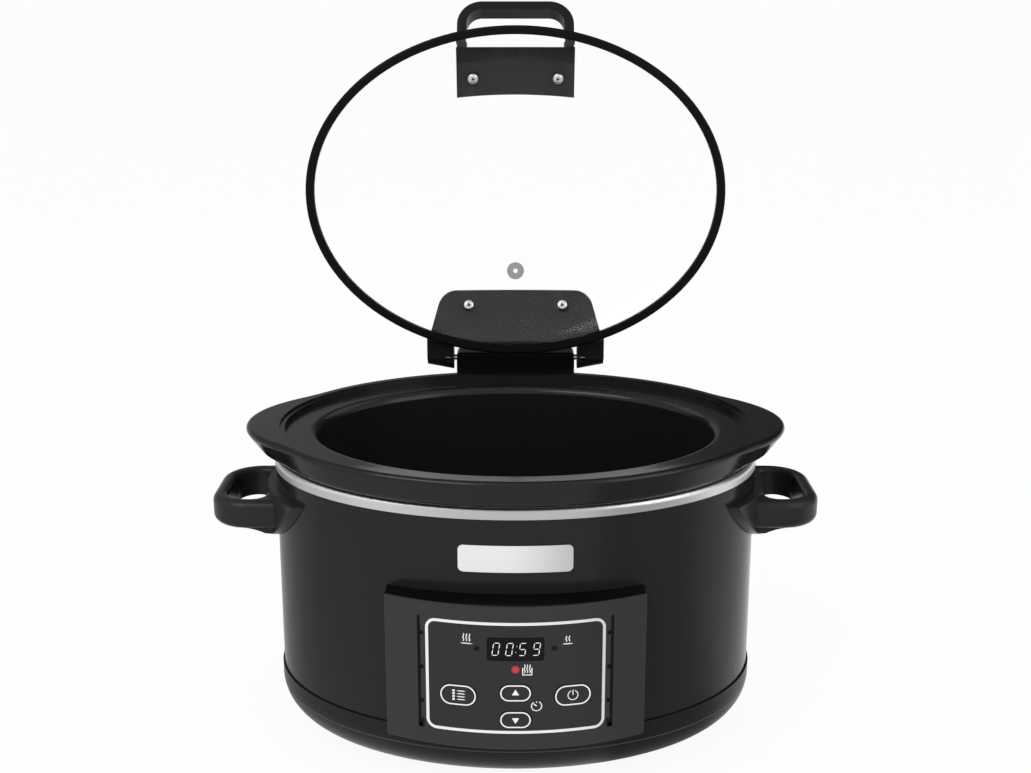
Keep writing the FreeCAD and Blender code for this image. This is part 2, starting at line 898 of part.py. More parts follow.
def handle_shape():
    shield = rod("x", "saddle_arc", "2 * half_width", z="saddle_low + saddle_arc")
    saddle = meet(shield, body_oval("saddle_thick", "saddle_low", "saddle_high"), block(
        ("half_width / 2", "2 * half_width"), either_way("half_depth"), ("saddle_low", "saddle_high")))
    cove = cut(
        meet(shield, block(
            ("half_width - handle_bar", "half_width + cove_reach"),
            either_way("handle_half - handle_edge"),
            ("saddle_low", "handle_low + handle_edge"))),
        rod("y", "cove_arc", "2 * half_depth",
            "half_width + cove_reach", "-half_depth", "handle_low - cove_arc"))
    loop = cut(join(handle_loop(), cove), finger_gap())
    top = at_height(size("handle_high"))
    edge_x = size("half_width") + size("handle_reach") - size("handle_bar") + NEAR
    edge_y = size("handle_half") - size("handle_bar") + NEAR

    def is_gap_edge(edge):
        box = edge.BoundBox
        inside = box.XMax < edge_x and max(box.YMax, -box.YMin) < edge_y
        return top(edge) and inside and box.XMin > size("half_width")

    loop = soften(loop, size("gap_edge"), is_gap_edge)
    seat = body_oval("fit_gap", "0", "rim_low")
    pilots = [
        rod("x", "screw_radius + fit_gap", "half_width / 2 + saddle_thick",
            "half_width / 2", f"{side}handle_screw_y", "handle_screw_z")
        for side in BOTH_SIDES
    ]
    return cut(join(loop, saddle), seat, *pilots)


def make_handles():
    node(handle_shape(), "right_handle")
    node(handle_shape(), "left_handle", Placement(Vector(), Rotation(Vector(0, 0, 1), 180)))


def wall_inside(half_along, half_across, place):
    # the inner face of the oval wall, at the edge of a screw head that sits off its axis
    reach = f"(({place} + screw_head) / ({half_across} - housing_wall))^2"
    return f"(({half_along} - housing_wall) * sqrt(1 - {reach}))"


def make_handle_screws():
    inside = wall_inside("half_width", "half_depth", "handle_screw_y")
    screws = []
    for side in BOTH_SIDES:
        spot = (f"{side}handle_screw_y", "handle_screw_z")
        head = rod("x", "screw_head", "head_height", f"{inside} - head_height", *spot)
        shank = rod("x", "screw_radius", f"half_width + saddle_thick / 2 - {inside}", inside, *spot)
        screw = join(head, shank)
        screws.append(screw)
        screws.append(moved(screw, Placement(Vector(), Rotation(Vector(0, 0, 1), 180))))
    node(group(*screws), "handle_screws")


def make_badge():
    depth = ("-half_depth - badge_thick", "0")
    face = tablet("badge_half", "badge_tall", size("badge_corner"), "badge_z", depth)
    skin = cut(
        body_oval("badge_thick", "parting_height", "housing_top"),
        body_oval("fit_gap", "parting_height", "housing_top"))
    node(meet(face, skin), "badge_plate")


def make_cord_inlet():
    # a bare grommet: the opening that a lead would come out of
    flange = rod("y", "inlet_flange", "inlet_proud", y="half_depth", z="inlet_z")
    neck = rod("y", "inlet_radius", "inlet_proud + housing_wall", y="half_depth - housing_wall", z="inlet_z")
    bore = rod("y", "inlet_bore", "half_depth", y="half_depth / 2", z="inlet_z")
    collar = cut(flange, body_oval("0", "parting_height", "housing_top"))
    node(cut(join(collar, neck), bore), "cord_inlet")


# the hinge at the rear


COVER_FRONT = "tongue_back + clear_gap"


def cover_spots():
    levels = ("socket_low + cover_screw_inset", "socket_high - cover_screw_inset")
    return [(f"{side}socket_screw_x", level) for side in BOTH_SIDES for level in levels]


def make_hinge_socket():
    # two rails on the housing and a cover behind them hold the tongue of the hinge post
    side = ("tongue_half + clear_gap", "socket_half")
    heights = ("socket_low", "socket_high")
    depth = ("half_depth / 2", COVER_FRONT)
    right = block(side, depth, heights)
    left = block((f"-({side[1]})", f"-({side[0]})"), depth, heights)
    pilots = [
        rod("y", "screw_radius + fit_gap", "half_depth",
            f"{side}socket_screw_x", "tongue_front - half_depth", "socket_screw_z")
        for side in BOTH_SIDES
    ]
    holes = [
        rod("y", "screw_radius + fit_gap", "half_depth", x, "tongue_front", z) for x, z in cover_spots()
    ]
    wall = body_oval("fit_gap", "0", "housing_top")
    node(group(*[cut(rail, wall, *pilots, *holes) for rail in (left, right)]), "hinge_rails")
    cover = block(either_way("socket_half"), (COVER_FRONT, "socket_back"), heights)
    cover = soften(cover, size("socket_round"), along("z", lambda c: c.y > size("tongue_back") + ABOUT))
    node(cut(cover, *holes), "hinge_cover")
    screws = []
    for x, z in cover_spots():
        head = rod("y", "screw_head", "head_height", x, "socket_back", z)
        shank = rod("y", "screw_radius", "socket_back - tongue_front - fit_gap",
                    x, "tongue_front + fit_gap", z)
        screws.append(join(head, shank))
    node(group(*screws), "cover_screws")


def make_socket_screws():
    inside = wall_inside("half_depth", "half_width", "socket_screw_x")
    screws = []
    for side in BOTH_SIDES:
        spot = f"{side}socket_screw_x"
        head = rod("y", "screw_head", "head_height", spot, f"{inside} - head_height", "socket_screw_z")
        length = f"tongue_front - screw_radius - {inside}"
        shank = rod("y", "screw_radius", length, spot, inside, "socket_screw_z")
        screws.append(join(head, shank))
    node(group(*screws), "socket_screws")


def make_hinge_post():
    under = "rim_top + clear_gap"
    head = block(either_way("post_half"), ("post_front", "post_back"), (under, "post_top"))
    middle = (size("post_front") + size("post_back")) / 2
    top = at_height(size("post_top"))
    ridge = along("x", lambda c: c.y < middle)
    crest = along("x", lambda c: c.y > middle)
    shoulders = along("y")
    head = soften(head, size("post_shoulder"), lambda edge: top(edge) and crest(edge))
    head = soften(head, size("post_corner"), lambda edge: top(edge) and shoulders(edge))
    head = soften(head, size("post_round"), lambda edge: top(edge) and ridge(edge))
    bore = rod("x", "pin_radius + pin_fit", "2 * post_half", "-post_half", "hinge_y", "hinge_z")
    node(cut(head, bore), "hinge_post")
    tongue = block(either_way("tongue_half"), ("tongue_front", "tongue_back"), ("tongue_low", under))
    node(tongue, "hinge_tongue")
    node(rod("x", "pin_radius", "2 * pin_half", "-pin_half", "hinge_y", "hinge_z"), "hinge_pin")


# the glass lid, built closed and then swung open about the hinge


def lid_place():
    hinge = Vector(0, size("hinge_y"), size("hinge_z"))
    return Placement(Vector(), Rotation(Vector(1, 0, 0), -size("open_angle")), hinge)


def dome(grow):
    obj = doc.addObject("Part::Ellipsoid", "Dome")
    spread = "sqrt(1 - (dome_sink / (dome_rise + dome_sink))^2)"
    tie(obj, {
        "Radius1": f"dome_rise + dome_sink + ({grow})",
        "Radius2": f"(lid_half_x - glass_inset) / {spread} + ({grow})",
        "Radius3": f"(lid_half_y - glass_inset) / {spread} + ({grow})",
    })
    return stand(obj, z="lid_plane - dome_sink")


def dome_place(x, y):
    # a place on the dome's outer face, with its own upright square to the glass
    tall = size("dome_rise") + size("dome_sink")
    spread = math.sqrt(1 - (size("dome_sink") / tall) ** 2)
    wide = (size("lid_half_x") - size("glass_inset")) / spread
    deep = (size("lid_half_y") - size("glass_inset")) / spread
    rise = tall * math.sqrt(1 - (x / wide) ** 2 - (y / deep) ** 2)
    normal = Vector(x / wide ** 2, y / deep ** 2, rise / tall ** 2)
    base = Vector(x, y, size("lid_plane") - size("dome_sink") + rise)
    return Placement(base, Rotation(Vector(0, 0, 1), normal))


def screw_places(x, y, sign):
    return [dome_place(side * size(x), sign * size(y)) for side in (-1.0, 1.0)]


def grip_screws():
    return screw_places("grip_screw_x", "grip_screw_y", -1.0)


def bracket_screws():
    return screw_places("bracket_screw_x", "bracket_screw_y", 1.0)


def lid_hole(place, radius):
    drill = rod("z", radius, "4 * glass_thick", z="plate_thick / 2 + clear_gap - 4 * glass_thick")
    return moved(drill, place)


def make_lid_glass():
    half_x, half_y = "lid_half_x - glass_inset", "lid_half_y - glass_inset"
    disc = oval(half_x, half_y, "lid_plane", "lid_plane + 2 * dome_rise")
    glass = cut(meet(dome("0"), disc), dome("-glass_thick"))
    holes = [lid_hole(place, "screw_radius + fit_gap") for place in grip_screws() + bracket_screws()]
    vent = lid_hole(dome_place(0.0, size("vent_y")), "vent_collar + fit_gap")
    node(cut(glass, *holes, vent), "lid_glass", lid_place())


def make_lid_rim():
    # a steel band round the edge of the glass, and a seal under it that drops into the crock's seat
    meeting, high = "rim_top + fit_gap", "lid_plane + lid_ring_half"
    top = size("lid_plane") + size("lid_ring_half")
    band = soften(oval("lid_half_x", "lid_half_y", meeting, high), size("lid_ring_round"), at_height(top))
    edge = "fit_gap - glass_inset"
    rabbet = oval(f"lid_half_x + {edge}", f"lid_half_y + {edge}", meeting, high)
    node(cut(band, rabbet), "lid_rim", lid_place())
    ring = oval("lid_half_x", "lid_half_y", "seal_low", meeting)
    ring = soften(ring, size("lid_ring_round"), at_height(size("seal_low")))
    hole = oval("lid_half_x - lid_ring_width", "lid_half_y - lid_ring_width", "seal_low", meeting)
    node(cut(ring, hole), "lid_seal", lid_place())


def make_steam_vent():
    vent = turned("steam_vent", [
        ("vent_bore", "-glass_thick - vent_flange - clear_gap"),
        ("vent_radius", "-glass_thick - vent_flange - clear_gap"),
        ("vent_radius", "-glass_thick - clear_gap"),
        ("vent_collar", "-glass_thick - clear_gap"),
        ("vent_collar", "clear_gap"),
        ("vent_radius", "clear_gap"),
        ("vent_radius", "clear_gap + vent_flange"),
        ("vent_bore", "clear_gap + vent_flange"),
    ])
    node(vent, "steam_vent", lid_place() * dome_place(0.0, size("vent_y")))


def lid_screws(places):
    under = "-glass_thick - clear_gap"
    tip = -size("glass_thick") - size("clear_gap") - size("head_height")
    screws = []
    for place in places:
        head = rod("z", "lid_screw_head", "head_height", z=f"{under} - head_height")
        head = soften(head, size("lid_screw_dome"), at_height(tip))
        shank = rod("z", "screw_radius", f"plate_thick / 2 - ({under})", z=under)
        screws.append(moved(join(head, shank), place))
    return group(*screws)


ABOVE_RIM = "lid_plane + lid_ring_half + clear_gap"


def plate_on_glass(outline):
    skin = cut(dome("plate_thick"), dome("fit_gap"))
    return meet(outline, skin)


def make_lid_handle():
    tilt = math.radians(size("grip_tilt"))
    length = (size("grip_reach") - size("grip_root")) / math.cos(tilt)
    start = (size("grip_front") - size("grip_root")) / math.cos(tilt)

    def far(centre):
        return centre.y < -start - size("grip_bar")

    loop = block(either_way("grip_half"), (f"-{length}", "0"), ("0", "grip_deep"))
    loop = soften(loop, size("grip_corner"), along("z", far))
    loop = soften(loop, size("grip_edge"), at_height(0.0, size("grip_deep")))
    gap = block(
        either_way("grip_half - grip_bar"),
        (f"grip_bar - {length}", f"-{start}"),
        ("-grip_deep", "2 * grip_deep"))
    gap = soften(gap, size("grip_corner") - size("grip_bar"), along("z", far))
    root = Vector(0, -size("grip_root"), size("lid_plane") + size("grip_lift"))
    loop = moved(cut(loop, gap), Placement(root, Rotation(Vector(1, 0, 0), -size("grip_tilt"))))
    heights = (ABOVE_RIM, f"{ABOVE_RIM} + 3 * dome_rise")
    slab = block(either_way("grip_half"), ("-grip_front", "-grip_rear"), heights)
    sweep = rod("z", "grip_sweep", "3 * dome_rise", y="grip_sweep - grip_rear - grip_hollow", z=ABOVE_RIM)
    foot = plate_on_glass(cut(slab, sweep))
    pilots = [lid_hole(place, "screw_radius + fit_gap") for place in grip_screws()]
    node(cut(join(foot, loop), dome("fit_gap"), *pilots), "lid_handle", lid_place())
    node(lid_screws(grip_screws()), "lid_handle_screws", lid_place())


def make_hinge_bracket():
    wings = padded("bracket_wings", "XY_Plane", [
        ("-bracket_narrow", "bracket_front"),
        ("bracket_narrow", "bracket_front"),
        ("bracket_wide", "bracket_rear"),
        ("-bracket_wide", "bracket_rear"),
    ], "3 * dome_rise")
    stand(wings, z=ABOVE_RIM)
    front = size("bracket_front") + ABOUT
    rounded = soften(wings, size("bracket_corner"), along("z", lambda c: c.y < front))
    arm = block(
        ("knuckle_inner", "knuckle_outer"),
        ("arm_front", "hinge_y"),
        (ABOVE_RIM, "hinge_z + knuckle_radius"))
    lead = size("arm_front") + ABOUT
    arm = soften(arm, size("arm_round"), along("x", lambda c: c.y < lead and c.z > size("hinge_z")))
    barrel = cone("x", "knuckle_radius", "knuckle_tip", "knuckle_outer - knuckle_inner",
                  "knuckle_inner", "hinge_y", "hinge_z")
    pocket = block(
        ("pocket_inner", "pocket_outer"),
        ("hinge_y - pocket_half", "hinge_y + pocket_half"),
        ("hinge_z - 2 * knuckle_radius", "hinge_z - pin_radius / 2"))
    knuckle = cut(join(arm, barrel), pocket)
    bore = rod("x", "pin_radius + pin_fit", "2 * knuckle_outer", "-knuckle_outer", "hinge_y", "hinge_z")
    pilots = [lid_hole(place, "screw_radius + fit_gap") for place in bracket_screws()]
    bracket = join(plate_on_glass(rounded), knuckle, mirrored(knuckle))
    node(cut(bracket, dome("fit_gap"), bore, *pilots), "hinge_bracket", lid_place())
    node(lid_screws(bracket_screws()), "hinge_screws", lid_place())


def mirrored(obj):
    twin = doc.addObject("Part::Mirroring", "Twin")
    twin.Source = obj
    twin.Normal = Vector(1, 0, 0)
    return twin


def check_all():
    doc.recompute()
    broken = [obj.Label for obj in doc.Objects if {"Invalid", "Error"} & set(obj.State)]
    broken += [obj.Label for obj in nodes if obj.Shape.isNull() or not obj.Shape.isValid()]
    if broken:
        raise RuntimeError("did not build: " + ", ".join(broken))


def write_parts():
    os.makedirs("parts", exist_ok=True)
    for obj in nodes:
        obj.Shape.exportStep(f"parts/{obj.Label}.step")
        print(obj.Label, len(obj.Shape.Solids), round(obj.Shape.Volume, 1))


MAKERS = [
    make_base_pan,
    make_feet,
    make_base_screws,
    make_outer_housing,
    make_trim_ring,
    make_heating_well,
    make_heater,
    make_thermal_parts,
    make_crock,
    make_bezel,
    make_fascia,
    make_panel_frame,
    make_display,
    make_lamps,
    make_buttons,
    make_control_board,
    make_power_board,
    make_handles,
    make_handle_screws,
    make_badge,
    make_cord_inlet,
    make_hinge_socket,
    make_socket_screws,
    make_hinge_post,
    make_lid_glass,
    make_lid_rim,
    make_steam_vent,
    make_lid_handle,
    make_hinge_bracket,
]

fill_sheet()
for make in MAKERS:
    make()
check_all()
write_parts()
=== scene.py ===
import math

import bpy
from mathutils import Matrix, Vector


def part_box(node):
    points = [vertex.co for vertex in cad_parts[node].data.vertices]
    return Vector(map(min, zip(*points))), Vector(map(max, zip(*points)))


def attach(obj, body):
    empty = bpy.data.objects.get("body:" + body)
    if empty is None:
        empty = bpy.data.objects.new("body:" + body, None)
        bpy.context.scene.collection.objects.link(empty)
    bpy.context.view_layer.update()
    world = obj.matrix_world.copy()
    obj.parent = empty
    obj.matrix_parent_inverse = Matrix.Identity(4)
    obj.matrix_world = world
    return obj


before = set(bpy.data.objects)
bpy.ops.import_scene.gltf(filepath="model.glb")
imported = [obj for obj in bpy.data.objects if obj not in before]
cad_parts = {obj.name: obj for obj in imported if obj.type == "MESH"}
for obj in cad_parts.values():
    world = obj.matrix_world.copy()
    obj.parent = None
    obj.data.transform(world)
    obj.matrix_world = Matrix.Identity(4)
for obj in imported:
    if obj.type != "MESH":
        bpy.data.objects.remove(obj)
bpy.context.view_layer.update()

MM = 0.001
SMOOTH_ANGLE = math.radians(35)

# the camera, worked out from the ovals of the ring, rim, seat and lid
PHOTO_WIDTH = 1031
FOCAL_PIXELS = 1452.057
SENSOR_WIDTH = 36.0
CAMERA_PLACE = (0.0, -873.243 * MM, 452.989 * MM)
CAMERA_PITCH = math.radians(15.159)

# the curved face of the control panel; a third of the print's depth stands proud of it
PANEL_ARC = 158.0 * MM
PANEL_FRONT = 129.9 * MM
PRINT_LIFT = -0.02 * MM
PRINT_DEEP = 0.12 * MM
STROKE = 0.58 * MM
BUTTON_PROUD = 0.4 * MM
BEZEL_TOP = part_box("control_bezel")[1][2]


def clear_selection():
    if bpy.context.object is not None and bpy.context.object.mode != "OBJECT":
        bpy.ops.object.mode_set(mode="OBJECT")
    bpy.ops.object.select_all(action="DESELECT")


def pick(obj):
    clear_selection()
    obj.select_set(True)
    bpy.context.view_layer.objects.active = obj


def join_pieces(objs):
    clear_selection()
    for obj in objs:
        obj.select_set(True)
    bpy.context.view_layer.objects.active = objs[0]
    if len(objs) > 1:
        bpy.ops.object.join()
    return bpy.context.object


def set_down(obj, place):
    # the place goes into the mesh, so the object itself stays at the origin
    obj.data.transform(place @ obj.matrix_basis)
    obj.matrix_basis = Matrix.Identity(4)
    return obj


def finish_piece(obj, name, body, material):
    obj.name = name
    obj.data.materials.clear()
    obj.data.materials.append(material)
    pick(obj)
    bpy.ops.object.shade_smooth_by_angle(angle=SMOOTH_ANGLE)
    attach(obj, body)


# nodes

FLOAT = "NodeSocketFloat"
COLOUR = "NodeSocketColor"
VECTOR = "NodeSocketVector"


def feed(tree, socket, value):
    # a plain value is set, and another socket is linked
    if isinstance(value, (int, float, tuple)):
        socket.default_value = value
    else:
        tree.links.new(value, socket)


def new_node(tree, kind, values):
    node = tree.nodes.new(kind)
    for label, value in values.items():
        feed(tree, node.inputs[label], value)
    return node


def math_node(tree, operation, *values):
    node = tree.nodes.new("ShaderNodeMath")
    node.operation = operation
    for socket, value in zip(node.inputs, values):
        feed(tree, socket, value)
    return node.outputs["Value"]


def noise(tree, vector, scale, detail):
    return new_node(tree, "ShaderNodeTexNoise", {"Vector": vector, "Scale": scale, "Detail": detail}).outputs["Fac"]


def texture_place(tree, kind="Object"):
    return tree.nodes.new("ShaderNodeTexCoord").outputs[kind]


def split_axes(tree, vector):
    apart = new_node(tree, "ShaderNodeSeparateXYZ", {"Vector": vector}).outputs
    return apart["X"], apart["Y"], apart["Z"]


def ease(tree, value, start, end, low=0.0, high=1.0):
    # a smooth change from low to high as the value goes from start to end
    node = new_node(tree, "ShaderNodeMapRange",
                    {"Value": value, "From Min": start, "From Max": end, "To Min": low, "To Max": high})
    node.interpolation_type = "SMOOTHSTEP"
    return node.outputs["Result"]


def blend_colours(tree, mask, low, high):
    # the low colour where the mask is 0, the high one where it is 1
    blend = tree.nodes.new("ShaderNodeMix")
    blend.data_type = "RGBA"
    for label, value in (("Factor", mask), ("A", low), ("B", high)):
        feed(tree, blend.inputs[label], value)
    return blend.outputs["Result"]


def add_squares(tree, one, other):
    return math_node(tree, "ADD", math_node(tree, "MULTIPLY", one, one), math_node(tree, "MULTIPLY", other, other))


def within(tree, value, limit):
    # 1 where the value is nearer to 0 than the limit
    return math_node(tree, "LESS_THAN", math_node(tree, "ABSOLUTE", value), limit)


# shared surface effects

GRAIN_DETAIL = 3.0
MATT_SCALE, MATT_DETAIL = 22.0, 4.0
TONE_SCALE, TONE_DETAIL = 14.0, 6.0
LINE_SCALE, LINE_DETAIL = 1.0, 5.0


def new_group(name, inputs, outputs):
    group = bpy.data.node_groups.new(name, "ShaderNodeTree")
    for way, sockets in (("INPUT", inputs), ("OUTPUT", outputs)):
        for label, kind in sockets:
            group.interface.new_socket(name=label, in_out=way, socket_type=kind)
    entry = group.nodes.new("NodeGroupInput")
    leave = group.nodes.new("NodeGroupOutput")
    return group, entry.outputs, leave.inputs


def spread_roughness(group, given, pattern):
    # the roughness, swung evenly to both sides by a pattern
    swing = math_node(group, "MULTIPLY", math_node(group, "SUBTRACT", pattern, 0.5), given["Spread"])
    return math_node(group, "ADD", given["Roughness"], swing)


def make_grain_group():
    # fine moulded or sprayed grain, with patches that are a little more or less matt
    group, given, out = new_group(
        "Surface grain",
        [("Scale", FLOAT), ("Roughness", FLOAT), ("Spread", FLOAT)],
        [("Roughness", FLOAT), ("Height", FLOAT)])
    where = texture_place(group)
    patches = noise(group, where, MATT_SCALE, MATT_DETAIL)
    group.links.new(spread_roughness(group, given, patches), out["Roughness"])
    group.links.new(noise(group, where, given["Scale"], GRAIN_DETAIL), out["Height"])
    return group


def make_tone_group():
    # slow changes of tone, as handling and light dust leave on a surface
    group, given, out = new_group(
        "Handled tone",
        [("Colour", COLOUR), ("Dust", COLOUR), ("Amount", FLOAT)],
        [("Colour", COLOUR)])
    patches = noise(group, texture_place(group), TONE_SCALE, TONE_DETAIL)
    share = math_node(group, "MULTIPLY", patches, given["Amount"])
    group.links.new(blend_colours(group, share, given["Colour"], given["Dust"]), out["Colour"])
    return group


def make_brush_group():
    # fine lines drawn out along one direction by brushing or rolling
    group, given, out = new_group(
        "Brushed lines",
        [("Stretch", VECTOR), ("Roughness", FLOAT), ("Spread", FLOAT)],
        [("Roughness", FLOAT), ("Height", FLOAT)])
    mapping = new_node(group, "ShaderNodeMapping", {"Vector": texture_place(group), "Scale": given["Stretch"]})
    lines = noise(group, mapping.outputs["Vector"], LINE_SCALE, LINE_DETAIL)
    group.links.new(spread_roughness(group, given, lines), out["Roughness"])
    group.links.new(lines, out["Height"])
    return group


def make_side_group():
    # a slow change from left to right, and one from the middle out to both sides
    group, given, out = new_group(
        "Side to side",
        [("Start", FLOAT), ("End", FLOAT)],
        [("Across", FLOAT), ("Outward", FLOAT)])
    x = split_axes(group, texture_place(group))[0]
    for label, value in (("Across", x), ("Outward", math_node(group, "ABSOLUTE", x))):
        group.links.new(ease(group, value, given["Start"], given["End"]), out[label])
    return group


def make_mask_group(name, labels, draw):
    # a group of plain inputs and one mask, which draw works out
    group, given, out = new_group(name, [(label, FLOAT) for label in labels], [("Mask", FLOAT)])
    group.links.new(draw(group, given), out["Mask"])
    return group


def off_point(group, given, mirrored):
    # how far across and up a place is from a point; mirrored, both sides of the middle are alike
    x, _, z = split_axes(group, texture_place(group))
    if mirrored:
        x = math_node(group, "ABSOLUTE", x)
    return math_node(group, "SUBTRACT", x, given["Across"]), math_node(group, "SUBTRACT", z, given["Up"])


def draw_ring(group, given):
    # a thin moulded ring round a point on an upright plate
    reach = math_node(group, "SQRT", add_squares(group, *off_point(group, given, True)))
    return within(group, math_node(group, "SUBTRACT", reach, given["Radius"]), given["Width"])


def draw_rib_and_highlight(group, given):
    # a thin line along and one up an upright plate: moulded ribs, and on the base pan a painted highlight line
    across, up = off_point(group, given, True)
    return math_node(group, "MAXIMUM", within(group, across, given["Width"]), within(group, up, given["Width"]))


def draw_patch(group, given):
    # an oblong on an upright face
    across, up = off_point(group, given, True)
    return math_node(group, "MULTIPLY", within(group, across, given["Half"]), within(group, up, given["Tall"]))


def draw_above(group, given):
    # 1 above a height, 0 below it
    return math_node(group, "GREATER_THAN", split_axes(group, texture_place(group))[2], given["Height"])


def draw_pocket(group, given):
    # 1 in slots sunk below a drum's face, within a half width of its middle
    x, y, _ = split_axes(group, texture_place(group))
    reach = math_node(group, "SQRT", add_squares(group, x, math_node(group, "SUBTRACT", y, given["Axis"])))
    sunk = math_node(group, "LESS_THAN", reach, given["Radius"])
    return math_node(group, "MULTIPLY", sunk, within(group, x, given["Half"]))


def draw_spot(group, given):
    # 1 in the middle of a round lens on an upright face, falling to 0 at its radius
    squares = add_squares(group, *off_point(group, given, False))
    reach = math_node(group, "DIVIDE", squares, math_node(group, "MULTIPLY", given["Radius"], given["Radius"]))
    return math_node(group, "MAXIMUM", math_node(group, "SUBTRACT", 1.0, reach), 0.0)


GRAIN = make_grain_group()
TONE = make_tone_group()
BRUSH = make_brush_group()
SIDES = make_side_group()
ABOVE = make_mask_group("Above a height", ["Height"], draw_above)
POCKET = make_mask_group("Sunk in a drum", ["Axis", "Radius", "Half"], draw_pocket)
PATCH = make_mask_group("Oblong patch", ["Across", "Up", "Half", "Tall"], draw_patch)
SPOT = make_mask_group("Lit spot", ["Across", "Up", "Radius"], draw_spot)
RING_MARK = make_mask_group("Moulded ring", ["Across", "Up", "Radius", "Width"], draw_ring)
RIB_AND_HIGHLIGHT_LINE = make_mask_group("Moulded rib and painted highlight line", ["Across", "Up", "Width"], draw_rib_and_highlight)


# materials

DARK_DUST, PLAIN_DUST, METAL_DUST, GLOW_DUST = 0.5, 0.4, 0.18, 0.5
DARK_SPREAD = 0.4
PLAIN_SPREAD = 0.1
METAL_SPREAD = 0.16
METAL_DULL = 0.35
GLOW_WORN = 0.7
GLASS_GRAIN = 6.0
LENS_ROUGHNESS = 0.35


def place_group(tree, group, values):
    node = tree.nodes.new("ShaderNodeGroup")
    node.node_tree = group
    for label, value in values.items():
        node.inputs[label].default_value = value
    return node.outputs


def new_material(name):
    material = bpy.data.materials.new(name)
    material.use_nodes = True
    return material, material.node_tree, material.node_tree.nodes["Principled BSDF"]


def neutral(level):
    return (level, level, level, 1.0)


def grey(level):
    # a black or grey moulding is a little cold
    return (level, level, level * 1.02, 1.0)


def add_tone(tree, colour, dust, amount):
    return place_group(tree, TONE, {"Colour": colour, "Dust": dust, "Amount": amount})["Colour"]


def add_bump(tree, shader, height, distance):
    bump = new_node(tree, "ShaderNodeBump", {"Strength": 1.0, "Distance": distance, "Height": height})
    tree.links.new(bump.outputs["Normal"], shader.inputs["Normal"])


def add_grain(tree, shader, scale, roughness, spread, deep=None):
    grain = place_group(tree, GRAIN, {"Scale": scale, "Roughness": roughness, "Spread": spread})
    tree.links.new(grain["Roughness"], shader.inputs["Roughness"])
    if deep is not None:
        add_bump(tree, shader, grain["Height"], deep)


def dark_finish(name, level, dust, roughness, grain_scale, grain_deep, specular, marks=()):
    # black paint, plastic or glaze; its marks are lighter or darker areas, each laid over the last
    material, tree, shader = new_material(name)
    colour = add_tone(tree, grey(level), grey(dust), DARK_DUST)
    for group, values, mark in marks:
        colour = blend_colours(tree, place_group(tree, group, values)["Mask"], colour, grey(mark))
    tree.links.new(colour, shader.inputs["Base Color"])
    add_grain(tree, shader, grain_scale, roughness, roughness * DARK_SPREAD, grain_deep)
    shader.inputs["Specular IOR Level"].default_value = specular
    return material


def plain_finish(name, colour, dust, roughness, grain_scale, grain_deep):
    material, tree, shader = new_material(name)
    tree.links.new(add_tone(tree, colour, dust, PLAIN_DUST), shader.inputs["Base Color"])
    add_grain(tree, shader, grain_scale, roughness, PLAIN_SPREAD, grain_deep)
    return material


def metal_finish(name, colour, roughness, stretch, depth, painted_shade=None):
    # brushed or rolled metal; a fade of painted shade names a slow change across, its span and the colour at its
    # end
    material, tree, shader = new_material(name)
    shader.inputs["Metallic"].default_value = 1.0
    tone = add_tone(tree, colour, grey(METAL_DULL), METAL_DUST)
    if painted_shade is not None:
        way, start, end, far = painted_shade
        tone = blend_colours(tree, place_group(tree, SIDES, {"Start": start, "End": end})[way], tone, far)
    tree.links.new(tone, shader.inputs["Base Color"])
    brush = place_group(tree, BRUSH, {"Stretch": stretch, "Roughness": roughness, "Spread": METAL_SPREAD})
    tree.links.new(brush["Roughness"], shader.inputs["Roughness"])
    add_bump(tree, shader, brush["Height"], depth)
    return material


def clear_finish(name, colour, roughness, ior):
    material, tree, shader = new_material(name)
    shader.inputs["Transmission Weight"].default_value = 1.0
    shader.inputs["Base Color"].default_value = colour
    shader.inputs["IOR"].default_value = ior
    add_grain(tree, shader, GLASS_GRAIN, roughness, roughness)
    return material


def light_up(tree, shader, colour, lit, strength):
    shader.inputs["Base Color"].default_value = colour
    tree.links.new(lit, shader.inputs["Emission Color"])
    shader.inputs["Emission Strength"].default_value = strength
    shader.inputs["Roughness"].default_value = LENS_ROUGHNESS


def glow_finish(name, colour, strength):
    material, tree, shader = new_material(name)
    worn = (colour[0] * GLOW_WORN, colour[1] * GLOW_WORN, colour[2] * GLOW_WORN, 1.0)
    light_up(tree, shader, colour, add_tone(tree, colour, worn, GLOW_DUST), strength)
    return material


def lamp_finish(name, node, core, edge, strength):
    # a lens lit from behind, brightest in its middle
    material, tree, shader = new_material(name)
    low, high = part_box(node)
    middle = {"Across": (low[0] + high[0]) / 2, "Up": (low[2] + high[2]) / 2, "Radius": (high[2] - low[2]) / 2}
    lit = blend_colours(tree, place_group(tree, SPOT, middle)["Mask"], edge, core)
    light_up(tree, shader, edge, lit, strength)
    return material


# dark finishes: levels of the colour and its dust, roughness, scale and depth of the grain, specular level
PAINT = dark_finish("Gloss black paint", 0.012, 0.016, 0.17, 420.0, 0.004 * MM, 0.15)
FASCIA_PLASTIC = dark_finish("Panel face film", 0.020, 0.025, 0.34, 1500.0, 0.006 * MM, 0.18)
HANDLE_PLASTIC = dark_finish("Handle plastic", 0.017, 0.022, 0.28, 1900.0, 0.010 * MM, 0.14)
HINGE_PLASTIC = dark_finish("Hinge post plastic", 0.003, 0.005, 0.36, 1900.0, 0.012 * MM, 0.06)
RIM_BLACK = dark_finish("Lid rim coating", 0.003, 0.005, 0.30, 1200.0, 0.006 * MM, 0.08)
SEAL_RUBBER = dark_finish("Lid seal rubber", 0.003, 0.005, 0.45, 900.0, 0.010 * MM, 0.06)
GLAZE = dark_finish("Black glaze", 0.007, 0.010, 0.17, 90.0, 0.012 * MM, 0.23)
DISPLAY_BLACK = dark_finish("Display window", 0.007, 0.009, 0.16, 700.0, 0.002 * MM, 0.05)
RUBBER = dark_finish("Foot rubber", 0.012, 0.030, 0.75, 900.0, 0.03 * MM, 0.25)
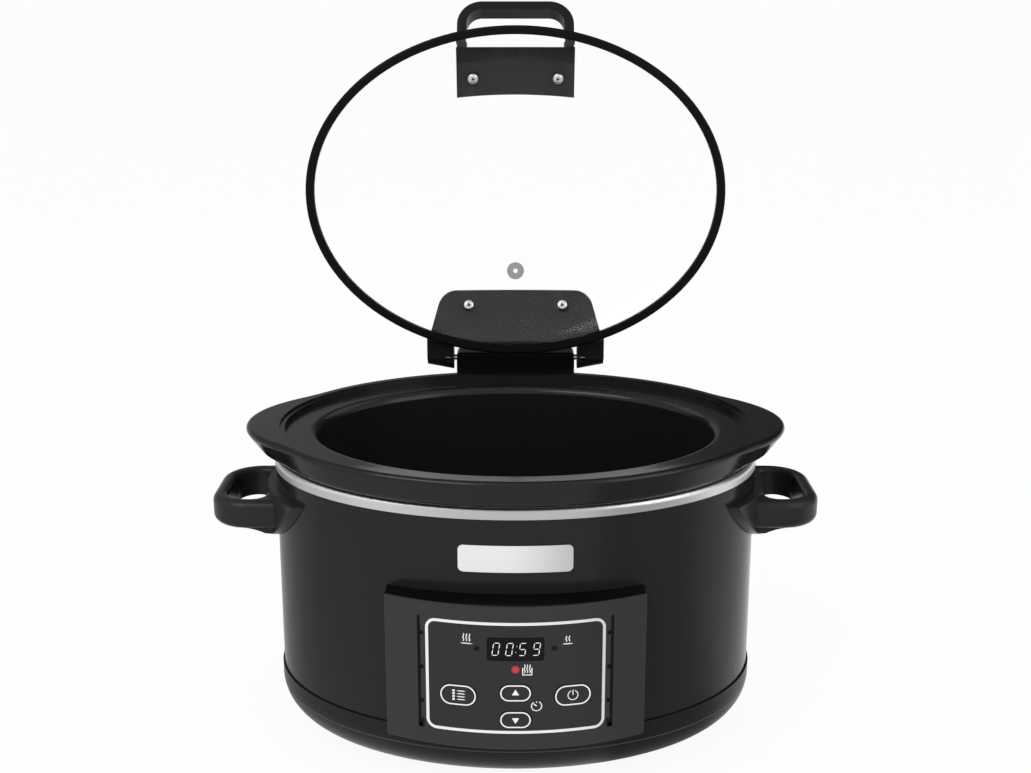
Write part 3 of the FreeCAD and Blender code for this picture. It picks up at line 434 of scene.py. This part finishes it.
LAMP_OFF = dark_finish("Unlit lamp", 0.009, 0.012, 0.30, 900.0, 0.002 * MM, 0.05)

# the same, with marks: a group, its values and the level it paints
RING_PLACE = {"Across": 32.4 * MM, "Up": 242.8 * MM, "Width": 0.25 * MM}
RING_RADII = (8.6 * MM, 12.4 * MM)
LID_RIBS = ((18.2 * MM, 409.2 * MM), (0.0, 392.5 * MM))
# patches of painted shade over the notches in the bezel's side slots
NOTCH_ACROSS, NOTCH_HALF = 53.4 * MM, 1.5 * MM
NOTCHES = ((105.8 * MM, 1.25 * MM), (84.9 * MM, 1.25 * MM), (64.0 * MM, 1.25 * MM), (50.0 * MM, 2.85 * MM))
OFF_THE_PART = 1.0
# below 425 mm, where it is seen through the lid glass, the lid handle is painted lighter: a painted reflection of
# the glass; above that it keeps its own darker level
LID_HANDLE_PLASTIC = dark_finish("Lid handle plastic", 0.026, 0.032, 0.34, 1900.0, 0.010 * MM, 0.10, [
    (RIB_AND_HIGHLIGHT_LINE, {"Across": across, "Up": up, "Width": 0.3 * MM}, 0.017) for across, up in LID_RIBS
] + [(ABOVE, {"Height": 425.0 * MM}, 0.008)])
# above 219.5 mm, where it is seen through the lid glass, the hinge plate is painted lighter: a painted reflection
# of the glass
BRACKET_PLASTIC = dark_finish("Hinge plate plastic", 0.007, 0.010, 0.36, 1900.0, 0.010 * MM, 0.08, [
    (ABOVE, {"Height": 219.5 * MM}, 0.030),
] + [(RING_MARK, {**RING_PLACE, "Radius": radius}, 0.020) for radius in RING_RADII])
BEZEL_PLASTIC = dark_finish("Panel bezel plastic", 0.026, 0.032, 0.40, 1900.0, 0.010 * MM, 0.18, [
    # the top ledge is painted near-black: painted shade
    (ABOVE, {"Height": BEZEL_TOP - 0.5 * MM}, 0.001),
    # the sunk slots are painted near-black: painted shade in the recesses
    (POCKET, {"Axis": PANEL_ARC - PANEL_FRONT, "Radius": PANEL_ARC - 0.5 * MM, "Half": 60.0 * MM}, 0.001),
# over each notch a near-black patch, a little larger than the notch: painted shade
] + [(PATCH, {"Across": NOTCH_ACROSS, "Up": up, "Half": NOTCH_HALF, "Tall": tall}, 0.001) for up, tall in NOTCHES])
# the light line at 26.8 mm is a painted highlight along the crease where the pan's wall turns under
PAN_PLASTIC = dark_finish("Base pan plastic", 0.008, 0.012, 0.32, 1900.0, 0.010 * MM, 0.14, [
    (RIB_AND_HIGHLIGHT_LINE, {"Across": OFF_THE_PART, "Up": 26.8 * MM, "Width": 0.32 * MM}, 0.060),
])

# metals: colour, roughness, stretch of the lines, their depth, and a fade of painted shade
# the trim ring is painted darker towards its middle: painted shade under the crock's rim
SILVER = metal_finish("Satin silver trim", neutral(0.50), 0.34, (12.0, 12.0, 2600.0), 0.002 * MM,
                      ("Outward", 20.0 * MM, 125.0 * MM, neutral(0.68)))
# the badge is painted darker towards its right: painted shade
BADGE_SILVER = metal_finish("Brushed badge", neutral(0.88), 0.30, (25.0, 900.0, 2400.0), 0.003 * MM,
                            ("Across", -10.0 * MM, 42.0 * MM, neutral(0.52)))
STEEL = metal_finish("Screw steel", (0.62, 0.62, 0.60, 1.0), 0.22, (900.0, 900.0, 900.0), 0.002 * MM)
FRAME_WHITE = metal_finish("Panel frame silver", neutral(0.93), 0.46, (60.0, 60.0, 900.0), 0.002 * MM)
ALUMINIUM = metal_finish("Pressed aluminium", (0.55, 0.55, 0.56, 1.0), 0.42, (40.0, 40.0, 900.0), 0.006 * MM)
FOIL = metal_finish("Heater foil", (0.60, 0.57, 0.50, 1.0), 0.38, (300.0, 300.0, 300.0), 0.03 * MM)

# glass: colour, roughness, IOR; lights: their colours and strength
GLASS = clear_finish("Lid glass", neutral(1.0), 0.004, 1.15)
DIGIT_GLOW = glow_finish("Lit digits", (0.74, 0.76, 0.76, 1.0), 0.36)
LAMP_RED = lamp_finish("Red lamp", "warm_lamp", (0.80, 0.016, 0.024, 1.0), (0.08, 0.008, 0.010, 1.0), 0.72)

# plain finishes: colour and its dust, roughness, scale and depth of the grain
PRINT_WHITE = plain_finish("White print", neutral(0.86), grey(0.7), 0.45, 2500.0, 0.002 * MM)
BOARD_GREEN = plain_finish("Circuit board", (0.020, 0.12, 0.045, 1.0), grey(0.1), 0.45, 700.0, 0.01 * MM)
PART_BLACK = plain_finish("Component moulding", grey(0.02), grey(0.05), 0.5, 900.0, 0.01 * MM)
BLANKET = plain_finish("Fibre blanket", (0.70, 0.66, 0.55, 1.0), grey(0.5), 0.9, 260.0, 0.3 * MM)
VENT_GREY = plain_finish("Vent grommet", grey(0.26), grey(0.34), 0.40, 900.0, 0.006 * MM)
# the screws' cross recesses are painted near-black: painted shade
CROSS_BLACK = plain_finish("Screw recess", grey(0.010), grey(0.03), 0.55, 900.0, 0.004 * MM)

NODE_FINISH = {
    PAINT: ["outer_housing"],
    PAN_PLASTIC: ["base_pan"],
    BEZEL_PLASTIC: ["control_bezel"],
    FASCIA_PLASTIC: ["panel_fascia", "menu_button", "up_button", "down_button", "power_button"],
    HANDLE_PLASTIC: ["right_handle", "left_handle", "cord_inlet", "hinge_rails", "hinge_cover"],
    HINGE_PLASTIC: ["hinge_post", "hinge_tongue"],
    LID_HANDLE_PLASTIC: ["lid_handle"],
    BRACKET_PLASTIC: ["hinge_bracket"],
    RIM_BLACK: ["lid_rim"],
    SEAL_RUBBER: ["lid_seal"],
    VENT_GREY: ["steam_vent"],
    GLAZE: ["crock"],
    DISPLAY_BLACK: ["display_window"],
    RUBBER: ["feet"],
    SILVER: ["trim_ring"],
    BADGE_SILVER: ["badge_plate"],
    FRAME_WHITE: ["panel_frame"],
    STEEL: ["hinge_pin", "base_screws", "handle_screws", "socket_screws", "cover_screws", "thermal_fuse",
            "temperature_sensor", "lid_handle_screws", "hinge_screws"],
    ALUMINIUM: ["heating_well"],
    FOIL: ["heater_band"],
    BLANKET: ["insulation_wrap"],
    GLASS: ["lid_glass"],
    LAMP_RED: ["warm_lamp"],
    LAMP_OFF: ["high_lamp", "low_lamp"],
    BOARD_GREEN: ["control_board", "power_board"],
    PART_BLACK: ["display_module", "tact_switches", "power_relay", "power_capacitor"],
}


def finish_nodes():
    for material, names in NODE_FINISH.items():
        for name in names:
            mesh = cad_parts[name].data
            mesh.materials.clear()
            mesh.materials.append(material)


# print and lit digits on the panel's face

def panel_place(x, z, lift):
    # right, up and outwards along the curved face
    lean = math.asin(x / PANEL_ARC)
    outward = Vector((math.sin(lean), -math.cos(lean), 0.0))
    right = Vector((math.cos(lean), math.sin(lean), 0.0))
    spot = Vector((x, PANEL_ARC - PANEL_FRONT - PANEL_ARC * math.cos(lean), z)) + outward * lift
    turn = Matrix((right, Vector((0.0, 0.0, 1.0)), outward)).transposed()
    return Matrix.Translation(spot) @ turn.to_4x4()


def raise_face(deep):
    # gives a flat outline its thickness, half of it to each side
    bpy.ops.mesh.select_all(action="SELECT")
    bpy.ops.mesh.extrude_region_move(TRANSFORM_OT_translate={"value": (0.0, 0.0, deep)})
    bpy.ops.mesh.select_all(action="SELECT")
    bpy.ops.transform.translate(value=(0.0, 0.0, -deep / 2))
    bpy.ops.mesh.normals_make_consistent(inside=False)


def flat_shape(corners, half_x, half_y, turn=0.0):
    # a flat outline with the given number of corners, stretched to its size and thickened
    clear_selection()
    bpy.ops.mesh.primitive_circle_add(vertices=corners, radius=1.0, fill_type="NGON", rotation=(0, 0, turn))
    obj = bpy.context.object
    set_down(obj, Matrix.Identity(4))
    obj.data.transform(Matrix.Diagonal((half_x, half_y, 1.0, 1.0)))
    bpy.ops.object.mode_set(mode="EDIT")
    raise_face(PRINT_DEEP)
    bpy.ops.object.mode_set(mode="OBJECT")
    return obj


def bar(length, thick, x, y, turn=0.0):
    # a six-cornered bar with pointed ends
    obj = flat_shape(6, length / 2, thick / 2 / math.sin(math.radians(60)), math.pi / 6)
    return set_down(obj, Matrix.Translation((x, y, 0)) @ Matrix.Rotation(turn, 4, "Z"))


def stroke(points, thick=STROKE):
    # a smooth drawn line, made a mesh and pressed flat
    curve = bpy.data.curves.new("stroke", "CURVE")
    curve.dimensions = "3D"
    spline = curve.splines.new("NURBS")
    spline.points.add(len(points) - 1)
    for point, (x, y) in zip(spline.points, points):
        point.co = (x, y, 0.0, 1.0)
    spline.order_u = 3
    spline.use_endpoint_u = True
    curve.resolution_u = 6
    curve.bevel_depth = thick / 2
    curve.bevel_resolution = 2
    curve.use_fill_caps = True
    obj = bpy.data.objects.new("stroke", curve)
    bpy.context.scene.collection.objects.link(obj)
    pick(obj)
    bpy.ops.object.convert(target="MESH")
    obj = bpy.context.object
    obj.data.transform(Matrix.Diagonal((1.0, 1.0, PRINT_DEEP / thick, 1.0)))
    return obj


def arc_points(radius, start, end, count):
    steps = [math.radians(start + (end - start) * i / (count - 1)) for i in range(count)]
    return [(radius * math.cos(a), radius * math.sin(a)) for a in steps]


def wave(x, low, high, sway):
    # one rising curl of heat
    rise = high - low
    turns = [(0.0, 0.0), (sway, 0.2), (-sway, 0.5), (sway, 0.8), (0.0, 1.0)]
    return stroke([(x + dx, low + rise * t) for dx, t in turns])


def print_on_panel(parts, name, x, z, body="base", lift=PRINT_LIFT):
    obj = join_pieces(parts)
    set_down(obj, panel_place(x, z, lift))
    finish_piece(obj, name, body, PRINT_WHITE)


DIGIT_TALL = 7.4 * MM
DIGIT_WIDE = 3.4 * MM
DIGIT_THICK = 0.42 * MM
DIGIT_GAP = DIGIT_THICK * 0.6
DIGIT_SLANT = math.tan(math.radians(9.0))
DIGIT_PLACES = {"0a": -11.0 * MM, "0b": -3.4 * MM, "5": 4.0 * MM, "9": 11.8 * MM}
LIT_SEGMENTS = {"0a": "abcdef", "0b": "abcdef", "5": "acdfg", "9": "abcdfg"}
COLON_PLACE = 0.4 * MM
DISPLAY_MIDDLE = 99.6 * MM


def segment(letter):
    half, quarter, side = DIGIT_TALL / 2, DIGIT_TALL / 4, DIGIT_WIDE / 2
    flat = DIGIT_WIDE - DIGIT_GAP
    tall = DIGIT_TALL / 2 - DIGIT_GAP
    upright = math.pi / 2
    places = {
        "a": (flat, 0.0, half, 0.0),
        "b": (tall, side, quarter, upright),
        "c": (tall, side, -quarter, upright),
        "d": (flat, 0.0, -half, 0.0),
        "e": (tall, -side, -quarter, upright),
        "f": (tall, -side, quarter, upright),
        "g": (flat, 0.0, 0.0, 0.0),
    }
    length, x, y, turn = places[letter]
    return bar(length, DIGIT_THICK, x, y, turn)


def make_digits():
    lean = Matrix.Identity(4)
    lean[0][1] = DIGIT_SLANT
    for key, x in DIGIT_PLACES.items():
        digit = join_pieces([segment(letter) for letter in LIT_SEGMENTS[key]])
        set_down(digit, panel_place(x, DISPLAY_MIDDLE, PRINT_LIFT) @ lean)
        finish_piece(digit, f"display_digit_{key}", "base", DIGIT_GLOW)
    dots = []
    for side in (-1, 1):
        dot = flat_shape(12, DIGIT_THICK * 0.5, DIGIT_THICK * 0.5)
        place = (side * DIGIT_SLANT * DIGIT_TALL / 4, side * DIGIT_TALL / 4, 0.0)
        dots.append(set_down(dot, Matrix.Translation(place)))
    colon = join_pieces(dots)
    set_down(colon, panel_place(COLON_PLACE, DISPLAY_MIDDLE, PRINT_LIFT))
    finish_piece(colon, "display_colon", "base", DIGIT_GLOW)


# each mark: across, up, number of curls, their height and the length of the line under them
HEAT_MARKS = {
    "high_heat_mark": (-27.5 * MM, 104.6 * MM, 3, 4.6 * MM, 7.4 * MM),
    "low_heat_mark": (29.2 * MM, 103.6 * MM, 2, 3.4 * MM, 6.4 * MM),
}
CURL_GAP, CURL_LIFT, CURL_SWAY = 1.7 * MM, 1.3 * MM, 0.5 * MM


def make_heat_marks():
    # rising heat over a line: three curls for high, two for low
    for name, (x, z, count, tall, wide) in HEAT_MARKS.items():
        first = -CURL_GAP * (count - 1) / 2
        low, high = -tall / 2 + CURL_LIFT, tall / 2 + CURL_LIFT
        parts = [wave(first + i * CURL_GAP, low, high, CURL_SWAY) for i in range(count)]
        parts.append(bar(wide, STROKE, 0.0, -tall / 2))
        print_on_panel(parts, name, x, z)


WARM_PLACE = (6.6 * MM, 86.9 * MM)
POT_HALF, POT_TALL = 2.6 * MM, 2.9 * MM
STEAM_LOW, STEAM_HIGH = -1.6 * MM, 3.4 * MM
STEAM_GAP, STEAM_SWAY = 1.45 * MM, 0.45 * MM


def make_warm_mark():
    # an open pot with steam over it
    left = [(-POT_HALF, POT_TALL * 0.5), (-POT_HALF, -POT_TALL * 0.7), (-POT_HALF, -POT_TALL),
            (-POT_HALF * 0.7, -POT_TALL)]
    parts = [stroke(left + [(-x, y) for x, y in reversed(left)])]
    parts += [wave(i * STEAM_GAP, STEAM_LOW, STEAM_HIGH, STEAM_SWAY) for i in (-1, 0, 1)]
    print_on_panel(parts, "warm_mark", *WARM_PLACE)


TIMER_PLACE = (11.9 * MM, 64.6 * MM)
DIAL_RADIUS = 2.9 * MM


def make_timer_mark():
    # an open dial with a hand and a short stem
    parts = [stroke(arc_points(DIAL_RADIUS, 62.0, -235.0, 26))]
    parts.append(stroke([(-1.6 * MM, 1.5 * MM), (-0.8 * MM, 0.75 * MM), (0.0, 0.0)], thick=STROKE * 1.3))
    parts.append(stroke([(0.0, DIAL_RADIUS), (0.0, DIAL_RADIUS * 0.86), (0.0, DIAL_RADIUS * 0.7)]))
    print_on_panel(parts, "timer_mark", *TIMER_PLACE)


# print on the push buttons: across, up, half width and half height of each

BUTTONS = {
    "menu_button": (-32.4 * MM, 70.2 * MM, 10.6 * MM, 6.4 * MM),
    "up_button": (0.0, 72.9 * MM, 8.9 * MM, 5.2 * MM),
    "down_button": (0.0, 56.3 * MM, 8.9 * MM, 5.2 * MM),
    "power_button": (32.4 * MM, 70.2 * MM, 10.6 * MM, 6.4 * MM),
}
OUTLINE_WIDE = 0.75 * MM
OUTLINE_INSET = 0.25 * MM
# a hair short of a full round, so that the corners don't meet
ROUND_SHARE = 0.999
LIST_ROWS, LIST_PITCH = 4, 1.75 * MM


def pill_outline(half, tall):
    # a rounded oblong, inset and opened in the middle
    clear_selection()
    bpy.ops.mesh.primitive_plane_add(size=2.0)
    obj = bpy.context.object
    obj.data.transform(Matrix.Diagonal((half - OUTLINE_INSET, tall - OUTLINE_INSET, 1.0, 1.0)))
    bpy.ops.object.mode_set(mode="EDIT")
    bpy.ops.mesh.select_all(action="SELECT")
    bpy.ops.mesh.bevel(offset=(tall - OUTLINE_INSET) * ROUND_SHARE, segments=14, affect="VERTICES")
    bpy.ops.mesh.select_all(action="SELECT")
    bpy.ops.mesh.inset(thickness=OUTLINE_WIDE, depth=0.0)
    bpy.ops.mesh.delete(type="FACE")
    raise_face(PRINT_DEEP)
    bpy.ops.object.mode_set(mode="OBJECT")
    return obj


def list_mark():
    # rows of a dot and a line
    parts = []
    for i in range(LIST_ROWS):
        y = ((LIST_ROWS - 1) / 2 - i) * LIST_PITCH
        parts.append(bar(5.4 * MM, STROKE, 1.7 * MM, y))
        dot = flat_shape(4, 1.0 * MM, 0.85 * MM, math.pi / 4)
        parts.append(set_down(dot, Matrix.Translation((-2.6 * MM, y, 0.0))))
    return parts


def triangle_mark(sign):
    return [flat_shape(3, 2.35 * MM, sign * 2.3 * MM)]


def power_mark():
    # an open ring with a stem through its gap
    ring = stroke(arc_points(DIAL_RADIUS, 112.0, 428.0, 28))
    stem = stroke([(0.0, DIAL_RADIUS * 1.15), (0.0, DIAL_RADIUS * 0.6), (0.0, 0.1 * MM)])
    return [ring, stem]


BUTTON_MARKS = {
    "menu_button": list_mark,
    "up_button": lambda: triangle_mark(1.0),
    "down_button": lambda: triangle_mark(-1.0),
    "power_button": power_mark,
}


def make_button_print():
    for name, (x, z, half, tall) in BUTTONS.items():
        parts = [pill_outline(half, tall)] + BUTTON_MARKS[name]()
        print_on_panel(parts, f"{name}_print", x, z, name, BUTTON_PROUD + PRINT_LIFT)


# cross recesses in the domed screws under the glass, drawn as flat near-black crosses, painted shade in place of
# the sunk recess: the tip of each right-hand screw and the way it faces

SCREW_TIPS = {
    "lid_handle": ((28.37 * MM, 118.16 * MM, 397.21 * MM), (-0.0630, -0.9664, -0.2492)),
    "hinge": ((32.29 * MM, 112.17 * MM, 244.58 * MM), (-0.0747, -0.9402, 0.3324)),
}
RECESS_LONG = 3.4 * MM
RECESS_WIDE = 0.85 * MM
RECESS_TURNS = (math.radians(20.0), math.radians(110.0))


def make_screw_recesses():
    for name, (tip, facing) in SCREW_TIPS.items():
        for label, side in (("right", 1.0), ("left", -1.0)):
            outward = Vector((facing[0] * side, facing[1], facing[2]))
            right = Vector((0.0, 0.0, 1.0)).cross(-outward).normalized()
            turn = Matrix((right, outward.cross(right), outward)).transposed()
            spot = Vector((tip[0] * side, tip[1], tip[2]))
            bars = [bar(RECESS_LONG, RECESS_WIDE, 0.0, 0.0, angle) for angle in RECESS_TURNS]
            cross = set_down(join_pieces(bars), Matrix.Translation(spot) @ turn.to_4x4())
            finish_piece(cross, f"{name}_screw_recess_{label}", "lid", CROSS_BLACK)


# the lip that carries the hinge plate down behind the rim

LIP_HALF = 34.0 * MM
LIP_FRONT, LIP_BACK = 109.4 * MM, 112.3 * MM
LIP_LOW, LIP_HIGH = 215.2 * MM, 218.7 * MM
LIP_ROUND = 0.8 * MM


def make_plate_lip():
    clear_selection()
    bpy.ops.mesh.primitive_cube_add(size=1.0)
    obj = bpy.context.object
    middle = Vector((0.0, (LIP_FRONT + LIP_BACK) / 2, (LIP_LOW + LIP_HIGH) / 2))
    size = Matrix.Diagonal((2 * LIP_HALF, LIP_BACK - LIP_FRONT, LIP_HIGH - LIP_LOW, 1.0))
    set_down(obj, Matrix.Translation(middle) @ size)
    bpy.ops.object.mode_set(mode="EDIT")
    bpy.ops.mesh.select_all(action="SELECT")
    bpy.ops.mesh.bevel(offset=LIP_ROUND, segments=4, affect="EDGES")
    bpy.ops.object.mode_set(mode="OBJECT")
    finish_piece(obj, "hinge_plate_lip", "lid", BRACKET_PLASTIC)


# camera, light and floor

SOFT_LEVEL = 0.80
# the dark screen: where it starts and is full, by direction, and how dark it is at the left and the right
SCREEN_BEHIND = (-0.05, 0.35)
SCREEN_ABOVE = (0.0, 0.10)
SCREEN_ACROSS = (-0.40, 0.30, 0.62, 0.96)

FLOOR_SIZE = 500.0
FLOOR_COLOUR = neutral(0.9)
FLOOR_ROUGHNESS = 0.9
FLOOR_WHITENESS = 0.93
# what the floor shows in glossy surfaces, by the angle round the part from the front: two angles and two levels
FLOOR_LEFT = (math.radians(-85.0), math.radians(-45.0), 0.62, 1.0)
FLOOR_DIM = (math.radians(26.0), math.radians(34.0), 0.0, 0.60)
FLOOR_DIM_END = (math.radians(62.0), math.radians(85.0), 1.0, 0.0)

# each softbox: place, width, height and power
LIGHT_AIM = (0.0, 0.0, 0.15)
SOFTBOXES = {
    "key": ((-0.9, -1.0, 1.5), 1.2, 0.9, 14.0),
    "fill": ((1.2, -0.9, 0.9), 0.9, 1.2, 6.0),
}


def add_camera():
    data = bpy.data.cameras.new("Camera")
    data.sensor_fit = "HORIZONTAL"
    data.sensor_width = SENSOR_WIDTH
    data.lens = FOCAL_PIXELS / PHOTO_WIDTH * SENSOR_WIDTH
    camera = bpy.data.objects.new("Camera", data)
    camera.location = CAMERA_PLACE
    camera.rotation_euler = (math.pi / 2 - CAMERA_PITCH, 0.0, 0.0)
    bpy.context.scene.collection.objects.link(camera)
    bpy.context.scene.camera = camera


def background_share(tree, path, mirrored):
    # 1 where the camera or a clear surface sees it, the mirrored level where a glossy one does, else 0
    direct = math_node(tree, "MAXIMUM", path["Is Camera Ray"], path["Is Transmission Ray"])
    return math_node(tree, "MAXIMUM", direct, math_node(tree, "MULTIPLY", path["Is Glossy Ray"], mirrored))


def light_world():
    # soft light from all round, and a white background; glossy surfaces see a dark screen behind and above
    world = bpy.data.worlds.new("Studio")
    bpy.context.scene.world = world
    world.use_nodes = True
    tree = world.node_tree
    x, y, z = split_axes(tree, texture_place(tree, "Generated"))
    behind = ease(tree, y, *SCREEN_BEHIND)
    above = ease(tree, z, *SCREEN_ABOVE)
    across = ease(tree, x, *SCREEN_ACROSS)
    screen = math_node(tree, "MULTIPLY", math_node(tree, "MULTIPLY", behind, above), across)
    path = tree.nodes.new("ShaderNodeLightPath").outputs
    share = background_share(tree, path, math_node(tree, "SUBTRACT", 1.0, screen))
    soft = math_node(tree, "MULTIPLY", math_node(tree, "SUBTRACT", 1.0, path["Is Glossy Ray"]), SOFT_LEVEL)
    studio = tree.nodes["Background"]
    studio.inputs["Color"].default_value = neutral(1.0)
    tree.links.new(math_node(tree, "MAXIMUM", share, soft), studio.inputs["Strength"])


def floor_finish():
    # pale, and white to the camera; glossy surfaces see it dimmer at the front right, and from the left to the back
    material, tree, shader = new_material("Pale floor")
    shader.inputs["Base Color"].default_value = FLOOR_COLOUR
    shader.inputs["Roughness"].default_value = FLOOR_ROUGHNESS
    x, y, _ = split_axes(tree, texture_place(tree))
    turn = math_node(tree, "ARCTAN2", x, math_node(tree, "MULTIPLY", y, -1.0))
    left = ease(tree, turn, *FLOOR_LEFT)
    dim = math_node(tree, "MULTIPLY", ease(tree, turn, *FLOOR_DIM), ease(tree, turn, *FLOOR_DIM_END))
    mirrored = math_node(tree, "SUBTRACT", left, dim)
    path = tree.nodes.new("ShaderNodeLightPath").outputs
    glow = new_node(tree, "ShaderNodeEmission", {"Strength": background_share(tree, path, mirrored)})
    mix = tree.nodes.new("ShaderNodeMixShader")
    seen = background_share(tree, path, 1.0)
    tree.links.new(math_node(tree, "MULTIPLY", seen, FLOOR_WHITENESS), mix.inputs["Fac"])
    tree.links.new(shader.outputs["BSDF"], mix.inputs[1])
    tree.links.new(glow.outputs["Emission"], mix.inputs[2])
    tree.links.new(mix.outputs["Shader"], tree.nodes["Material Output"].inputs["Surface"])
    return material


def add_floor():
    clear_selection()
    bpy.ops.mesh.primitive_plane_add(size=FLOOR_SIZE)
    floor = bpy.context.object
    floor.name = "floor"
    floor.data.materials.append(floor_finish())


def add_softbox(name, place, width, height, power):
    data = bpy.data.lights.new(name, "AREA")
    data.shape = "RECTANGLE"
    data.size = width
    data.size_y = height
    data.energy = power
    lamp = bpy.data.objects.new(name, data)
    lamp.location = place
    lamp.rotation_euler = (Vector(LIGHT_AIM) - Vector(place)).to_track_quat("-Z", "Y").to_euler()
    bpy.context.scene.collection.objects.link(lamp)


def add_lights():
    light_world()
    for name, values in SOFTBOXES.items():
        add_softbox(name, *values)


bpy.context.scene.view_settings.view_transform = "Standard"
finish_nodes()
make_digits()
make_heat_marks()
make_warm_mark()
make_timer_mark()
make_button_print()
make_screw_recesses()
make_plate_lip()
add_camera()
add_floor()
add_lights()
